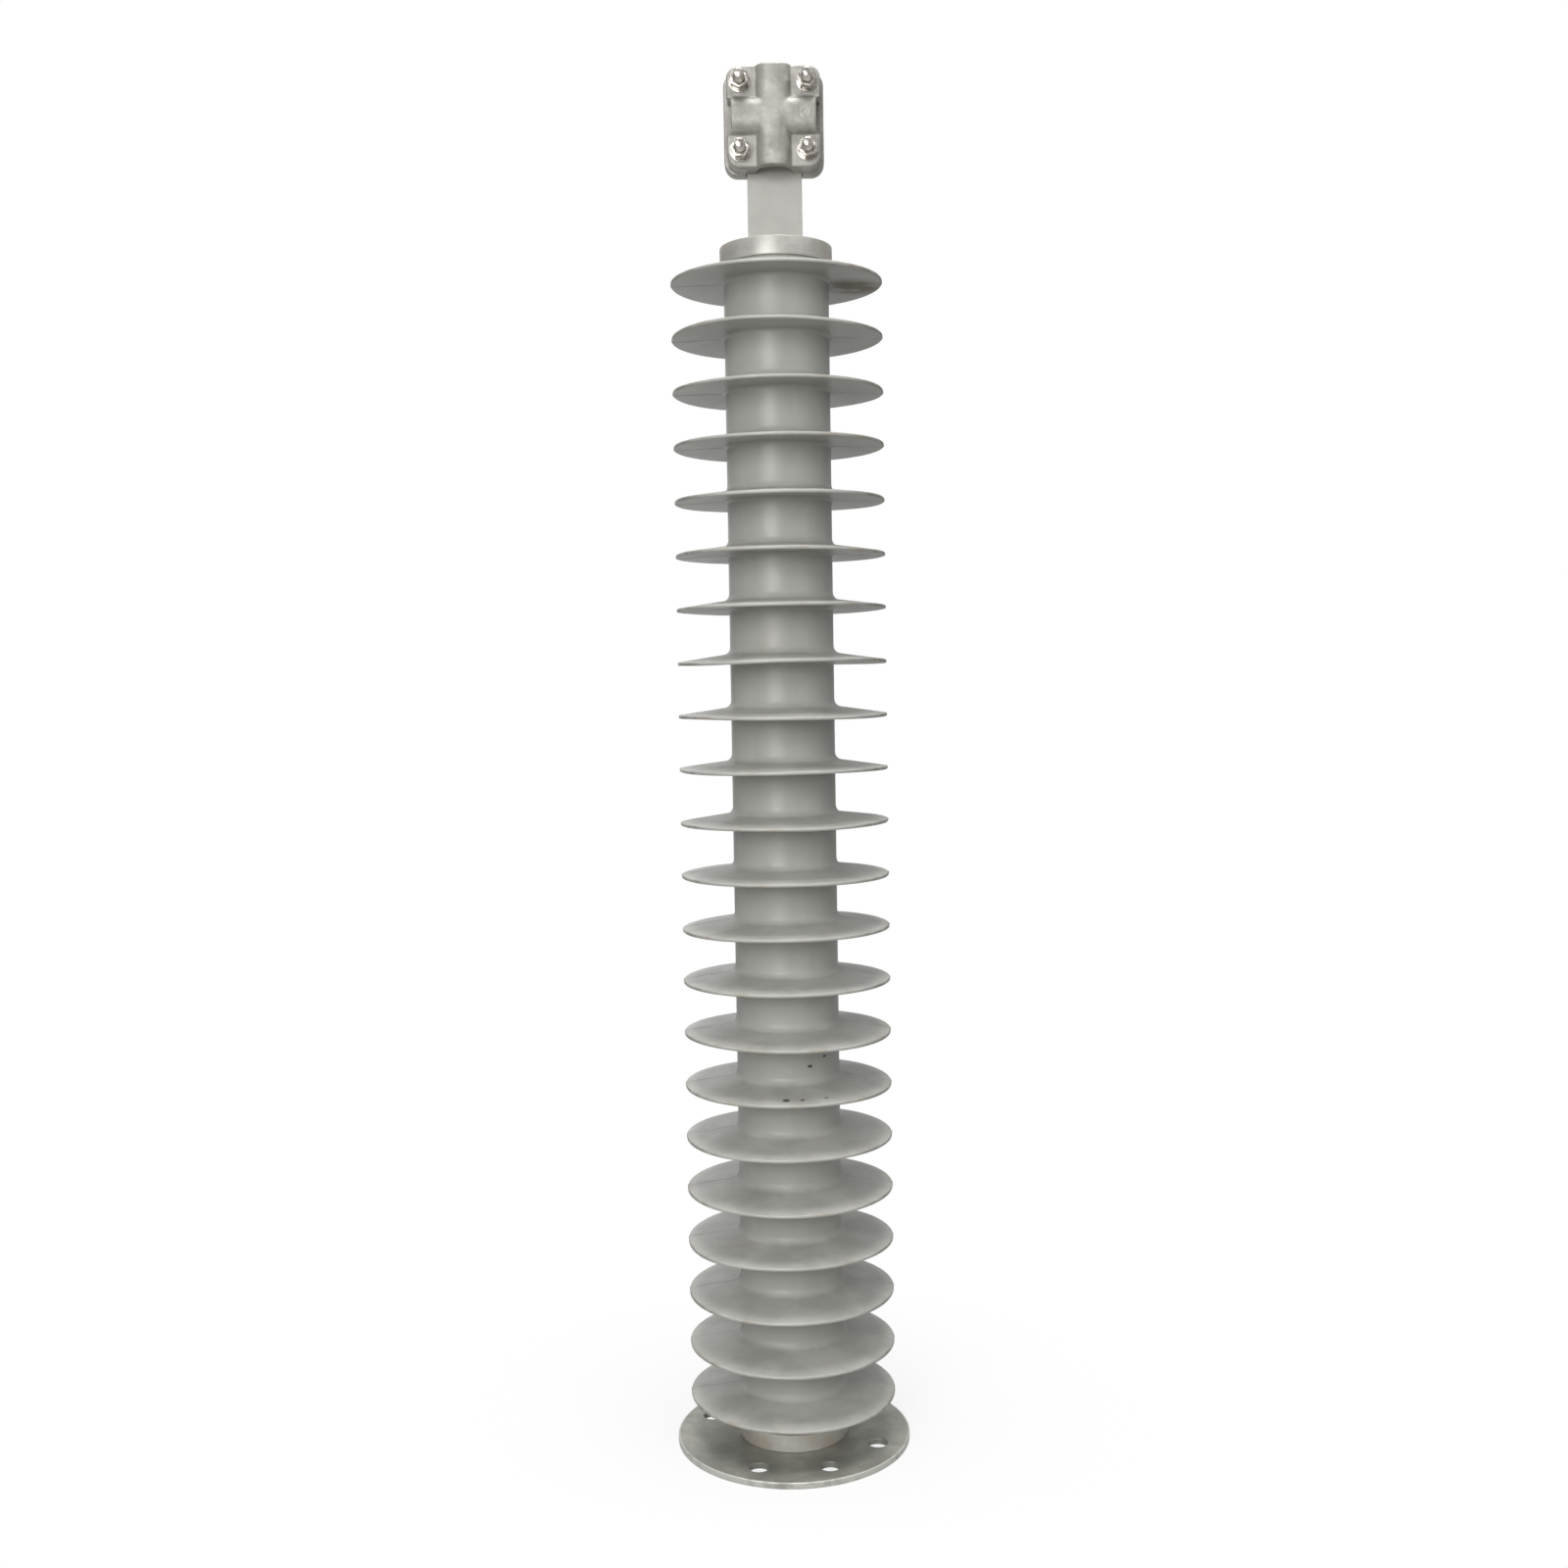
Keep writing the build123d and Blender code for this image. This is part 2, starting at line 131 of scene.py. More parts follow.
class Graph:
    """The node tree of one material, or of the world."""

    def __init__(self, name: str, world: bool = False) -> None:
        """Make an empty material or world of that name with its output node.

        Args:
            name: The material's or world's name.
            world: Whether it is a world.
        """
        self.owner = (bpy.data.worlds if world else bpy.data.materials).new(name)
        self.owner.use_nodes = True
        self.tree = self.owner.node_tree
        self.tree.nodes.clear()
        kind = "ShaderNodeOutputWorld" if world else "ShaderNodeOutputMaterial"
        self.output = self.tree.nodes.new(kind)

    def node(self, kind: str, settings: dict[str, Any] | None = None,
             inputs: dict[int | str, Any] | None = None, output: int | str = 0) -> Value:
        """Add one node of any type.

        Args:
            kind: The node's type name.
            settings: Properties set first; "stops" gives a colour ramp's (place, colour) pairs.
            inputs: Values or links for its sockets, by number or name.
            output: The output socket to return.

        Returns:
            The value at that output.
        """
        node = self.tree.nodes.new(kind)
        for name, setting in (settings or {}).items():
            if name == "stops":
                ramp = node.color_ramp
                while len(ramp.elements) < len(setting):
                    ramp.elements.new(1.0)
                for element, (place, colour) in zip(ramp.elements, setting):
                    element.position = place
                    element.color = (*colour, 1.0)
            else:
                setattr(node, name, setting)
        for key, value in (inputs or {}).items():
            if isinstance(value, Value):
                self.tree.links.new(value.socket, node.inputs[key])
            else:
                node.inputs[key].default_value = value
        return Value(self, node.outputs[output])

    def show(self, shader: Value) -> None:
        """Connect a shader to the output."""
        self.tree.links.new(shader.socket, self.output.inputs["Surface"])

    def place(self) -> Value:
        """Return the point's place in the arrester's own frame."""
        return self.node("ShaderNodeTexCoord", output="Object")

    def split(self, vector: Value) -> tuple[Value, Value, Value]:
        """Return a vector's X, Y and Z."""
        outputs = self.node("ShaderNodeSeparateXYZ", {}, {0: vector}).socket.node.outputs
        return Value(self, outputs[0]), Value(self, outputs[1]), Value(self, outputs[2])

    def pattern_place(self, stretch: Triple, shift: float) -> Value:
        """Return the place that a pattern reads.

        Args:
            stretch: How much longer the pattern is along X, Y and Z.
            shift: Offset in metres that gives another pattern.

        Returns:
            The point's place over the stretch, plus the shift.
        """
        scale = tuple(1.0 / length for length in stretch)
        inputs = {"Vector": self.place(), "Scale": scale, "Location": (shift, shift, shift)}
        return self.node("ShaderNodeMapping", {}, inputs)

    def noise(self, size: float, detail: float = 3.0, roughness: float = 0.55,
              distortion: float = 0.0, stretch: Triple = EVEN, shift: float = 0.0) -> Value:
        """Return noise from 0 to 1 whose blotches are about size metres across.

        Args:
            size: Breadth of a blotch in metres.
            detail: Number of finer layers.
            roughness: Weight of the finer layers.
            distortion: How far the blotches are swirled.
            stretch: How much longer the blotches are along X, Y and Z.
            shift: Offset in metres that gives another pattern.

        Returns:
            The noise's value.
        """
        inputs = {"Vector": self.pattern_place(stretch, shift), "Scale": 1.0 / size,
                  "Detail": detail, "Roughness": roughness, "Distortion": distortion}
        return self.node("ShaderNodeTexNoise", {}, inputs)

    def spots(self, spacing: float, radius: float, stretch: Triple = EVEN, shift: float = 0.0,
              core: float = 0.6) -> Value:
        """Return 1 inside small scattered spots and 0 outside.

        Args:
            spacing: Mean distance between the spots in metres.
            radius: Radius of a spot as a share of the spacing.
            stretch: How much longer the spots are along X, Y and Z.
            shift: Offset in metres that gives another pattern.
            core: Share of the radius within which a spot is full.

        Returns:
            The spots' mask.
        """
        inputs = {"Vector": self.pattern_place(stretch, shift), "Scale": 1.0 / spacing}
        return self.node("ShaderNodeTexVoronoi", {}, inputs).step(radius, radius * core)

    def ramp(self, value: Value, stops: Sequence[tuple[float, Colour]]) -> Value:
        """Return a colour read from a ramp."""
        return self.node("ShaderNodeValToRGB", {"stops": stops}, {0: value})

    def mix(self, share: "Value | float", first: Any, second: Any) -> Value:
        """Return a colour between two colours.

        Args:
            share: Share of the second colour.
            first: The first colour, plain or worked out.
            second: The second colour, plain or worked out.

        Returns:
            The mixed colour.
        """
        first, second = (c if isinstance(c, Value) else (*c, 1.0) for c in (first, second))
        settings = {"data_type": "RGBA", "blend_type": "MIX"}
        return self.node("ShaderNodeMix", settings, {0: share, 6: first, 7: second}, output=2)

    def bump(self, height: Value, depth: float, strength: float,
             under: Value | None = None) -> Value:
        """Return a normal bent by a height.

        Args:
            height: Height from 0 to 1.
            depth: What a height of 1 stands for, in metres.
            strength: Share of the effect.
            under: A coarser bump that lies beneath.

        Returns:
            The bent normal.
        """
        inputs = {"Height": height, "Distance": depth, "Strength": strength}
        if under is not None:
            inputs["Normal"] = under
        return self.node("ShaderNodeBump", {}, inputs)

    def finish(self, colour: Any, roughness: "Value | float", metallic: "Value | float" = 0.0,
               normal: Value | None = None, **constants: float) -> bpy.types.Material:
        """Connect a Principled shader and return the finished material.

        Args:
            colour: Base colour, plain or worked out.
            roughness: Surface roughness.
            metallic: Share of bare metal.
            normal: Bent normal, if any.
            **constants: Other sockets, with underscores for spaces, set to plain numbers.

        Returns:
            The material.
        """
        base = colour if isinstance(colour, Value) else (*colour, 1.0)
        inputs = {"Base Color": base, "Roughness": roughness, "Metallic": metallic}
        if normal is not None:
            inputs["Normal"] = normal
        inputs |= {name.replace("_", " "): value for name, value in constants.items()}
        self.show(self.node("ShaderNodeBsdfPrincipled", {}, inputs))
        return self.owner


def reach(x: Value, y: Value) -> Value:
    """Return how far (x, y) lies from the origin: the root of the sum of the squares."""
    return (x * x + y * y).math("SQRT")


# ---------------------------------------------------------------- finishes

# In a finish, noise's first number is its blotches' breadth in metres, step's two numbers are
# the levels where a mask is empty and full, and a factor is a layer's greatest share.


@dataclass(frozen=True)
class SiliconeRubber:
    """Matt grey mottled silicone with beige handling stains, a few dark nicks, dusting plus painted
    light on upward faces, and painted shade at the rims' left and right ends.
    """

    grey: Colour = (0.375, 0.375, 0.352)
    pale: Colour = (0.425, 0.424, 0.398)
    # Paler colour for faces that point up: dusting, and painted light on the tops.
    dust_and_top_light: Colour = (0.520, 0.515, 0.480)
    stain: Colour = (0.330, 0.285, 0.215)
    smear: Colour = (0.225, 0.190, 0.135)
    # Dark colour for the moulding seam, and for the painted shade on the rims' left and right ends.
    seam_and_rim_shade: Colour = (0.130, 0.120, 0.098)
    dark: Colour = (0.055, 0.055, 0.052)
    rim_radius: float = 80.0 * MM
    stained_band: tuple[float, float] = (5.0 * MM, -1.0 * MM)
    shaded_rim_band: tuple[float, float] = (1.1 * MM, 0.3 * MM)
    shaded_rim_sides: tuple[float, float] = (45.0 * MM, 74.0 * MM)
    seam_half_width: float = 0.8 * MM
    smear_centre: tuple[float, float] = (60.0 * MM, 10.0 * MM)
    smear_radius: float = 30.0 * MM
    smear_full_radius: float = 10.0 * MM
    smear_bottom: float = 886.0 * MM
    cut_weights: Triple = (0.15, 0.15, 0.5)
    cut_raggedness: float = 0.8 * MM
    cuts: tuple[tuple[float, float, float, float], ...] = (
        (0.0165, -0.0359, 0.303, 0.0015), (0.0275, -0.0284, 0.309, 0.0013),
        (-0.002, -0.0700, 0.2855, 0.0018), (0.010, -0.0695, 0.2855, 0.0013),
        (0.028, -0.0640, 0.2858, 0.0012))

    def material(self) -> bpy.types.Material:
        """Return the rubber's material.

        Returns:
            The material, with every layer of the finish.
        """
        graph = Graph("silicone_rubber")
        place = graph.split(graph.place())
        x, y, _ = place
        up = graph.split(graph.node("ShaderNodeNewGeometry", output="Normal"))[2]
        radius = reach(x, y)
        cloud = graph.noise(0.07, detail=4.0)
        streak = graph.noise(0.012, stretch=(1.0, 1.0, 9.0))
        tone = graph.mix((cloud * 0.7 + streak * 0.3).step(0.35, 0.68), self.grey, self.pale)
        # Partly real dusting and partly painted light: faces that point up are made paler, which
        # brightens the tops of the sheds.
        dusted_and_lit_tops = up.step(0.3, 0.9) * graph.noise(0.03, shift=0.4).step(0.36, 0.66)
        tone = graph.mix(dusted_and_lit_tops * 0.70, tone, self.dust_and_top_light)
        near_rim = radius.step(*(self.rim_radius - inset for inset in self.stained_band))
        patches = graph.noise(0.028, detail=5.0, shift=1.7).step(0.52, 0.66)
        tone = graph.mix(near_rim * patches * 0.60, tone, self.stain)
        handled = graph.noise(0.045, detail=6.0, distortion=0.6, shift=2.9).step(0.63, 0.74)
        tone = graph.mix(handled * 0.22, tone, self.stain)
        # Painted shade: the rims' outer edge darkens towards the left and right ends, broken up by
        # a ragged noise.
        edge = radius.step(*(self.rim_radius - inset for inset in self.shaded_rim_band))
        worn = graph.noise(0.012, detail=5.0, shift=8.3).step(0.34, 0.62)
        sides = abs(x).step(*self.shaded_rim_sides)
        tone = graph.mix(edge * sides * (worn * 0.55 + 0.15), tone, self.seam_and_rim_shade)
        seam = abs(y).step(self.seam_half_width, self.seam_half_width * 0.3)
        filled = graph.noise(0.030, detail=4.0, shift=6.4).step(0.48, 0.62)
        tone = graph.mix(seam * filled * 0.65, tone, self.seam_and_rim_shade)
        soiled = self.soiled(graph, place, up)
        tone = graph.mix(soiled * 0.70, tone, self.smear)
        tone = graph.mix(self.marks(graph, place), tone, self.dark)
        normal = graph.bump(graph.noise(0.016, detail=2.0, shift=0.9), 0.5 * MM, 0.35)
        normal = graph.bump(graph.noise(0.0011, detail=2.0), 0.06 * MM, 0.45, normal)
        roughness = graph.noise(0.02, shift=2.2) * 0.14 + 0.33 + soiled * 0.38
        return graph.finish(tone, roughness, 0.0, normal, Specular_IOR_Level=0.45)

    def soiled(self, graph: Graph, place: tuple[Value, Value, Value], up: Value) -> Value:
        """Return the smear under the top shed.

        Args:
            graph: The material's nodes.
            place: The point's X, Y and Z.
            up: How far the surface faces up.

        Returns:
            A mask, 1 where the smear is full: a ragged blot on what faces down near the top.
        """
        x, y, z = place
        blot = reach(x - self.smear_centre[0], y - self.smear_centre[1])
        blot = blot.step(self.smear_radius, self.smear_full_radius)
        below = (z - self.smear_bottom).step(0.0, 4 * MM) * up.step(0.2, -0.2)
        ragged = graph.noise(0.014, detail=5.0, stretch=(2.0, 1.0, 1.0), shift=9.1)
        return blot * below * ragged.step(0.28, 0.52)

    def marks(self, graph: Graph, place: tuple[Value, Value, Value]) -> Value:
        """Return the dark marks: scattered nicks and scuffs, and the listed cuts.

        A cut is dark where the weighted distance from its place, plus a ragged share, is less
        than its size.

        Args:
            graph: The material's nodes.
            place: The point's X, Y and Z.

        Returns:
            A mask, 1 where a mark is full.
        """
        nicks = graph.spots(0.055, 0.045, stretch=(1.8, 1.8, 0.6))
        scuffs = graph.spots(0.021, 0.05, stretch=(2.6, 2.6, 0.5), shift=3.3)
        marks = nicks * graph.noise(0.09, shift=5.1).step(0.53, 0.58) \
            + scuffs * graph.noise(0.11, shift=7.7).step(0.60, 0.66) * 0.6
        ragged = graph.noise(0.0016, shift=4.8) * self.cut_raggedness
        for *middle, size in self.cuts:
            gaps = [axis - centre for axis, centre in zip(place, middle)]
            squares = [gap * gap * weight for gap, weight in zip(gaps, self.cut_weights)]
            away = (squares[0] + squares[1] + squares[2]).math("SQRT") + ragged
            marks = marks + away.step(size, size * 0.65)
        return marks.math("MINIMUM", 1.0)


@dataclass(frozen=True)
class CastAluminium:
    """Dull sand-cast aluminium with a fine grain and a darker brown bloom."""

    dull: Colour = (0.270, 0.262, 0.235)
    bright: Colour = (0.385, 0.378, 0.348)
    brown: Colour = (0.180, 0.160, 0.128)

    def material(self) -> bpy.types.Material:
        """Return the casting's material.

        Returns:
            The material, with every layer of the finish.
        """
        graph = Graph("cast_aluminium")
        cloud = graph.noise(0.013, detail=6.0, roughness=0.62)
        tone = graph.mix(cloud.step(0.33, 0.66), self.dull, self.bright)
        bloom = graph.noise(0.03, detail=5.0, shift=1.1).step(0.52, 0.70)
        tone = graph.mix(bloom * 0.35, tone, self.brown)
        pits = graph.noise(0.0009, detail=3.0, roughness=0.7)
        skin = graph.noise(0.0042, detail=4.0, shift=0.6)
        normal = graph.bump(skin, 0.45 * MM, 0.55)
        normal = graph.bump(pits, 0.16 * MM, 0.55, normal)
        roughness = graph.noise(0.008, shift=3.1) * 0.22 + 0.36
        return graph.finish(tone, roughness, 0.35, normal)


@dataclass(frozen=True)
class TurnedAluminium:
    """Machined ring with fine turning lines, bright and dull mottling and a trace of brown from
    handling.
    """

    bright: Colour = (0.440, 0.432, 0.402)
    dull: Colour = (0.340, 0.333, 0.310)
    brown: Colour = (0.380, 0.300, 0.222)
    dent: Colour = (0.10, 0.10, 0.10)
    name: str = "turned_aluminium"

    def material(self) -> bpy.types.Material:
        """Return the turned metal's material.

        Returns:
            The material, with every layer of the finish.
        """
        graph = Graph(self.name)
        blotch = graph.noise(0.014, detail=5.0)
        lines = graph.noise(0.00045, detail=2.0, stretch=(160.0, 160.0, 1.0))
        tone = graph.mix((blotch * 0.7 + lines * 0.3).step(0.34, 0.66), self.dull, self.bright)
        tarnish = graph.noise(0.022, detail=4.0, shift=4.4).step(0.50, 0.68)
        tone = graph.mix(tarnish * 0.45, tone, self.brown)
        dents = graph.spots(0.011, 0.10, shift=2.0) * graph.noise(0.02, shift=6.0).step(0.50, 0.56)
        tone = graph.mix(dents * 0.8, tone, self.dent)
        normal = graph.bump(lines, 0.03 * MM, 0.5)
        normal = graph.bump(blotch, 0.12 * MM, 0.35, normal)
        return graph.finish(tone, blotch * 0.18 + 0.36, 0.50, normal)


@dataclass(frozen=True)
class GalvanisedPlate:
    """Old zinc on steel: dark and light mottling, rubbed streaks and a pale worn rim."""

    dark: Colour = (0.215, 0.213, 0.190)
    mid: Colour = (0.310, 0.308, 0.275)
    pale: Colour = (0.425, 0.422, 0.380)
    rim: Colour = (0.560, 0.562, 0.520)
    rim_radius: float = 91.0 * MM
    rim_band: tuple[float, float] = (1.8 * MM, 0.6 * MM)

    def material(self) -> bpy.types.Material:
        """Return the plate's material.

        Returns:
            The material, with every layer of the finish.
        """
        graph = Graph("galvanised_plate")
        x, y, _ = graph.split(graph.place())
        cloud = graph.noise(0.034, detail=6.0, roughness=0.62, distortion=0.4)
        rubbed = graph.noise(0.007, detail=5.0, stretch=(1.8, 1.0, 1.0), shift=1.3)
        stops = [(0.34, self.dark), (0.52, self.mid), (0.68, self.pale)]
        tone = graph.ramp(cloud * 0.72 + rubbed * 0.28, stops)
        flecks = graph.noise(0.0018, detail=3.0, shift=2.6).step(0.60, 0.72)
        tone = graph.mix(flecks * 0.35, tone, self.pale)
        edge = reach(x, y).step(*(self.rim_radius - inset for inset in self.rim_band))
        wear = graph.noise(0.009, detail=5.0, shift=3.9).step(0.30, 0.55)
        tone = graph.mix(edge * (wear * 0.75 + 0.25), tone, self.rim)
        normal = graph.bump(cloud, 0.5 * MM, 0.35)
        normal = graph.bump(graph.noise(0.0016, detail=3.0), 0.14 * MM, 0.45, normal)
        return graph.finish(tone, rubbed * 0.24 + 0.34, 0.40, normal)


@dataclass(frozen=True)
class PlainFinish:
    """Evenly finished material with slight mottling and a fine grain.

    Fields give the name, two shades, roughness, share of metal, blotch size and grain depth.
    """

    name: str
    shade: Colour
    light: Colour
    roughness: float
    metallic: float
    blotch: float = 0.01
    grain: float = 0.03 * MM

    def material(self) -> bpy.types.Material:
        """Return the material.

        Returns:
            The material, named after the finish.
        """
        graph = Graph(self.name)
        cloud = graph.noise(self.blotch, detail=4.0)
        tone = graph.mix(cloud.step(0.35, 0.65), self.shade, self.light)
        normal = graph.bump(graph.noise(self.blotch / 12, detail=2.0), self.grain, 0.5)
        return graph.finish(tone, cloud * 0.12 + self.roughness, self.metallic, normal)


BRIGHT_STEEL = PlainFinish("bright_steel", (0.36, 0.335, 0.30), (0.60, 0.575, 0.535),
                           0.16, 1.0, 0.004)
ZINC_STEEL = PlainFinish("zinc_steel", (0.42, 0.42, 0.41), (0.60, 0.60, 0.59), 0.30, 0.95, 0.006)
GLASS_FIBRE = PlainFinish("glass_fibre", (0.42, 0.38, 0.22), (0.58, 0.53, 0.34), 0.32, 0.0, 0.012)
METAL_OXIDE = PlainFinish("metal_oxide", (0.07, 0.07, 0.075), (0.13, 0.13, 0.14), 0.42, 0.0, 0.005)
FLAT_BAR = PlainFinish("bar_metal", (0.355, 0.348, 0.322), (0.405, 0.398, 0.370),
                       0.42, 0.35, 0.05, 0.05 * MM)
# Paler copy of the turned aluminium for the bottom ring: painted light that makes up for the shade
# under the lowest shed.
TURNED_ALUMINIUM_PAINTED_LIGHT = TurnedAluminium((0.680, 0.665, 0.610), (0.560, 0.545, 0.500),
                                     (0.600, 0.455, 0.340), name="turned_aluminium_painted_light")


# ---------------------------------------------------------------- surfaces


def grid_faces(rows: int, columns: int, wrap_rows: bool, wrap_columns: bool,
               first: int = 0) -> Array:
    """Return the quads of a grid of points.

    A quad joins each point to the next in its row and to the two below; wrapping joins the
    last row or column to the first.

    Args:
        rows: Number of rows.
        columns: Number of points in a row.
        wrap_rows: Whether the last row meets the first.
        wrap_columns: Whether a row's end meets its start.
        first: Number of the grid's first point.

    Returns:
        An array of four point numbers per quad.
    """
    row = np.arange(rows if wrap_rows else rows - 1)[:, None]
    column = np.arange(columns if wrap_columns else columns - 1)[None, :]
    next_row = (row + 1) % rows
    next_column = (column + 1) % columns
    corners = [row * columns + column, row * columns + next_column,
               next_row * columns + next_column, next_row * columns + column]
    return np.stack([corner.reshape(-1) for corner in corners], axis=1) + first


def enclosed_volume(points: Array, faces: Array) -> float:
    """Return the signed volume: a sixth of the sum of a . (b x c) over each quad's two triangles.

    Args:
        points: Corner places, one row each.
        faces: Quads as rows of four point numbers.

    Returns:
        The volume, positive where the faces point outwards.
    """
    a, b, c, d = (points[faces[:, n]] for n in range(4))
    halves = np.einsum("ij,ij->i", a, np.cross(b, c)) + np.einsum("ij,ij->i", a, np.cross(c, d))
    return float(halves.sum() / 6.0)


def add_object(name: str, data: bpy.types.ID) -> bpy.types.Object:
    """Put a mesh, light or camera into the scene.

    Args:
        name: The object's name.
        data: The mesh, light or camera.

    Returns:
        The new object.
    """
    thing = bpy.data.objects.new(name, data)
    bpy.context.scene.collection.objects.link(thing)
    return thing


def make_piece(name: str, points: Array, faces: Array, material: bpy.types.Material,
               smooth_angle: float) -> bpy.types.Object:
    """Make a mesh object at the origin from points and quads, its faces turned outwards.

    Args:
        name: The piece's name.
        points: Corner places, one row each.
        faces: Quads as rows of four point numbers.
        material: The finish.
        smooth_angle: Edges sharper than this many degrees stay crisp.

    Returns:
        The new object.
    """
    if enclosed_volume(points, faces) < 0:
        faces = faces[:, ::-1]
    mesh = bpy.data.meshes.new(name)
    mesh.vertices.add(len(points))
    mesh.vertices.foreach_set("co", points.astype(np.float32).ravel())
    mesh.loops.add(faces.size)
    mesh.loops.foreach_set("vertex_index", faces.astype(np.int32).ravel())
    mesh.polygons.add(len(faces))
    mesh.polygons.foreach_set("loop_start", np.arange(0, faces.size, 4, dtype=np.int32))
    mesh.polygons.foreach_set("loop_total", np.full(len(faces), 4, dtype=np.int32))
    mesh.update(calc_edges=True)
    mesh.validate()
    mesh.shade_smooth()
    mesh.set_sharp_from_angle(angle=math.radians(smooth_angle))
    mesh.materials.append(material)
    return add_object(name, mesh)


def settle(piece: bpy.types.Object, node: str) -> None:
    """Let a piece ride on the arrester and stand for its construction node.

    Args:
        piece: The piece.
        node: The construction node.
    """
    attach(piece, BODY)
    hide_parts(node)
    LOG.info("%s stands for %s", piece.name, node)


def worked_copy(node: str, name: str, material: bpy.types.Material,
                width: float, segments: int) -> None:
    """Stand a copy with softened edges in for a construction node.

    The copy's points are joined, and every edge that turns by more than ROUNDED_FROM is rounded.

    Args:
        node: The construction node.
        name: The copy's name.
        material: The finish.
        width: Width of the rounding.
        segments: Chords in the rounding.
    """
    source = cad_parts[node]
    shape = bmesh.new()
    shape.from_mesh(source.data)
    shape.transform(source.matrix_world)
    bmesh.ops.remove_doubles(shape, verts=shape.verts, dist=SAME_POINT)
    sharp = [edge for edge in shape.edges
             if len(edge.link_faces) == 2 and edge.calc_face_angle() > ROUNDED_FROM]
    bmesh.ops.bevel(shape, geom=sharp, offset=width, segments=segments, profile=0.5,
                    affect="EDGES", clamp_overlap=True)
    mesh = bpy.data.meshes.new(name)
    shape.to_mesh(mesh)
    shape.free()
    if "custom_normal" in mesh.attributes:
        mesh.attributes.remove(mesh.attributes["custom_normal"])
    mesh.shade_smooth()
    mesh.set_sharp_from_angle(angle=CRISP_FROM)
    mesh.materials.clear()
    mesh.materials.append(material)
    piece = add_object(name, mesh)
    piece.modifiers.new("even_normals", "WEIGHTED_NORMAL").keep_sharp = True
    settle(piece, node)


def rounded_profile(corners: Sequence[Triple], pieces: int) -> Array:
    """Return the points of an outline whose corners are rounded by tangent arcs.

    At each corner the arc leaves the incoming line at radius * tan(half the turn) before the
    corner and follows a circle to the same distance after it.

    Args:
        corners: (radius from the axis, height, corner radius) for each corner.
        pieces: Chords in each arc.

    Returns:
        An array of (radius, height) points.
    """
    place = np.array([corner[:2] for corner in corners])
    points = [place[0]]
    for before, corner, after, (_, _, radius) in zip(place, place[1:], place[2:], corners[1:]):
        if radius <= 0:
            points.append(corner)
            continue
        arriving = (corner - before) / np.linalg.norm(corner - before)
        leaving = (after - corner) / np.linalg.norm(after - corner)
        half = math.acos(float(np.clip(arriving @ leaving, -1, 1))) / 2
        inward = (leaving - arriving) / np.linalg.norm(leaving - arriving)
        centre = corner + inward * radius / math.cos(half)
        turn = np.linspace(-half, half, pieces + 1)[:, None]
        forward = (arriving + leaving) / np.linalg.norm(arriving + leaving)
        points.extend(centre + radius * (forward * np.sin(turn) - inward * np.cos(turn)))
    points.append(place[-1])
    return np.array(points)


def turned_surface(profile: Array, angles: Array) -> Array:
    """Return a grid of points: every (radius, height) of the profile at every angle about Z.

    Args:
        profile: The (radius, height) points, one row each.
        angles: The angles in radians.

    Returns:
        The points, by profile row and angle.
    """
    radius, height = profile[:, :1], profile[:, 1:]
    x = radius * np.cos(angles)[None, :]
    y = radius * np.sin(angles)[None, :]
    return np.stack([x, y, np.broadcast_to(height, x.shape)], axis=-1)


def inside_share(past: Array, softness: float) -> Array:
    """Return 1 inside an edge and 0 past it: 1 over 1 plus e to the distance past over softness."""
    return 1 / (1 + np.exp(past / softness))


# ---------------------------------------------------------------- sub-assemblies


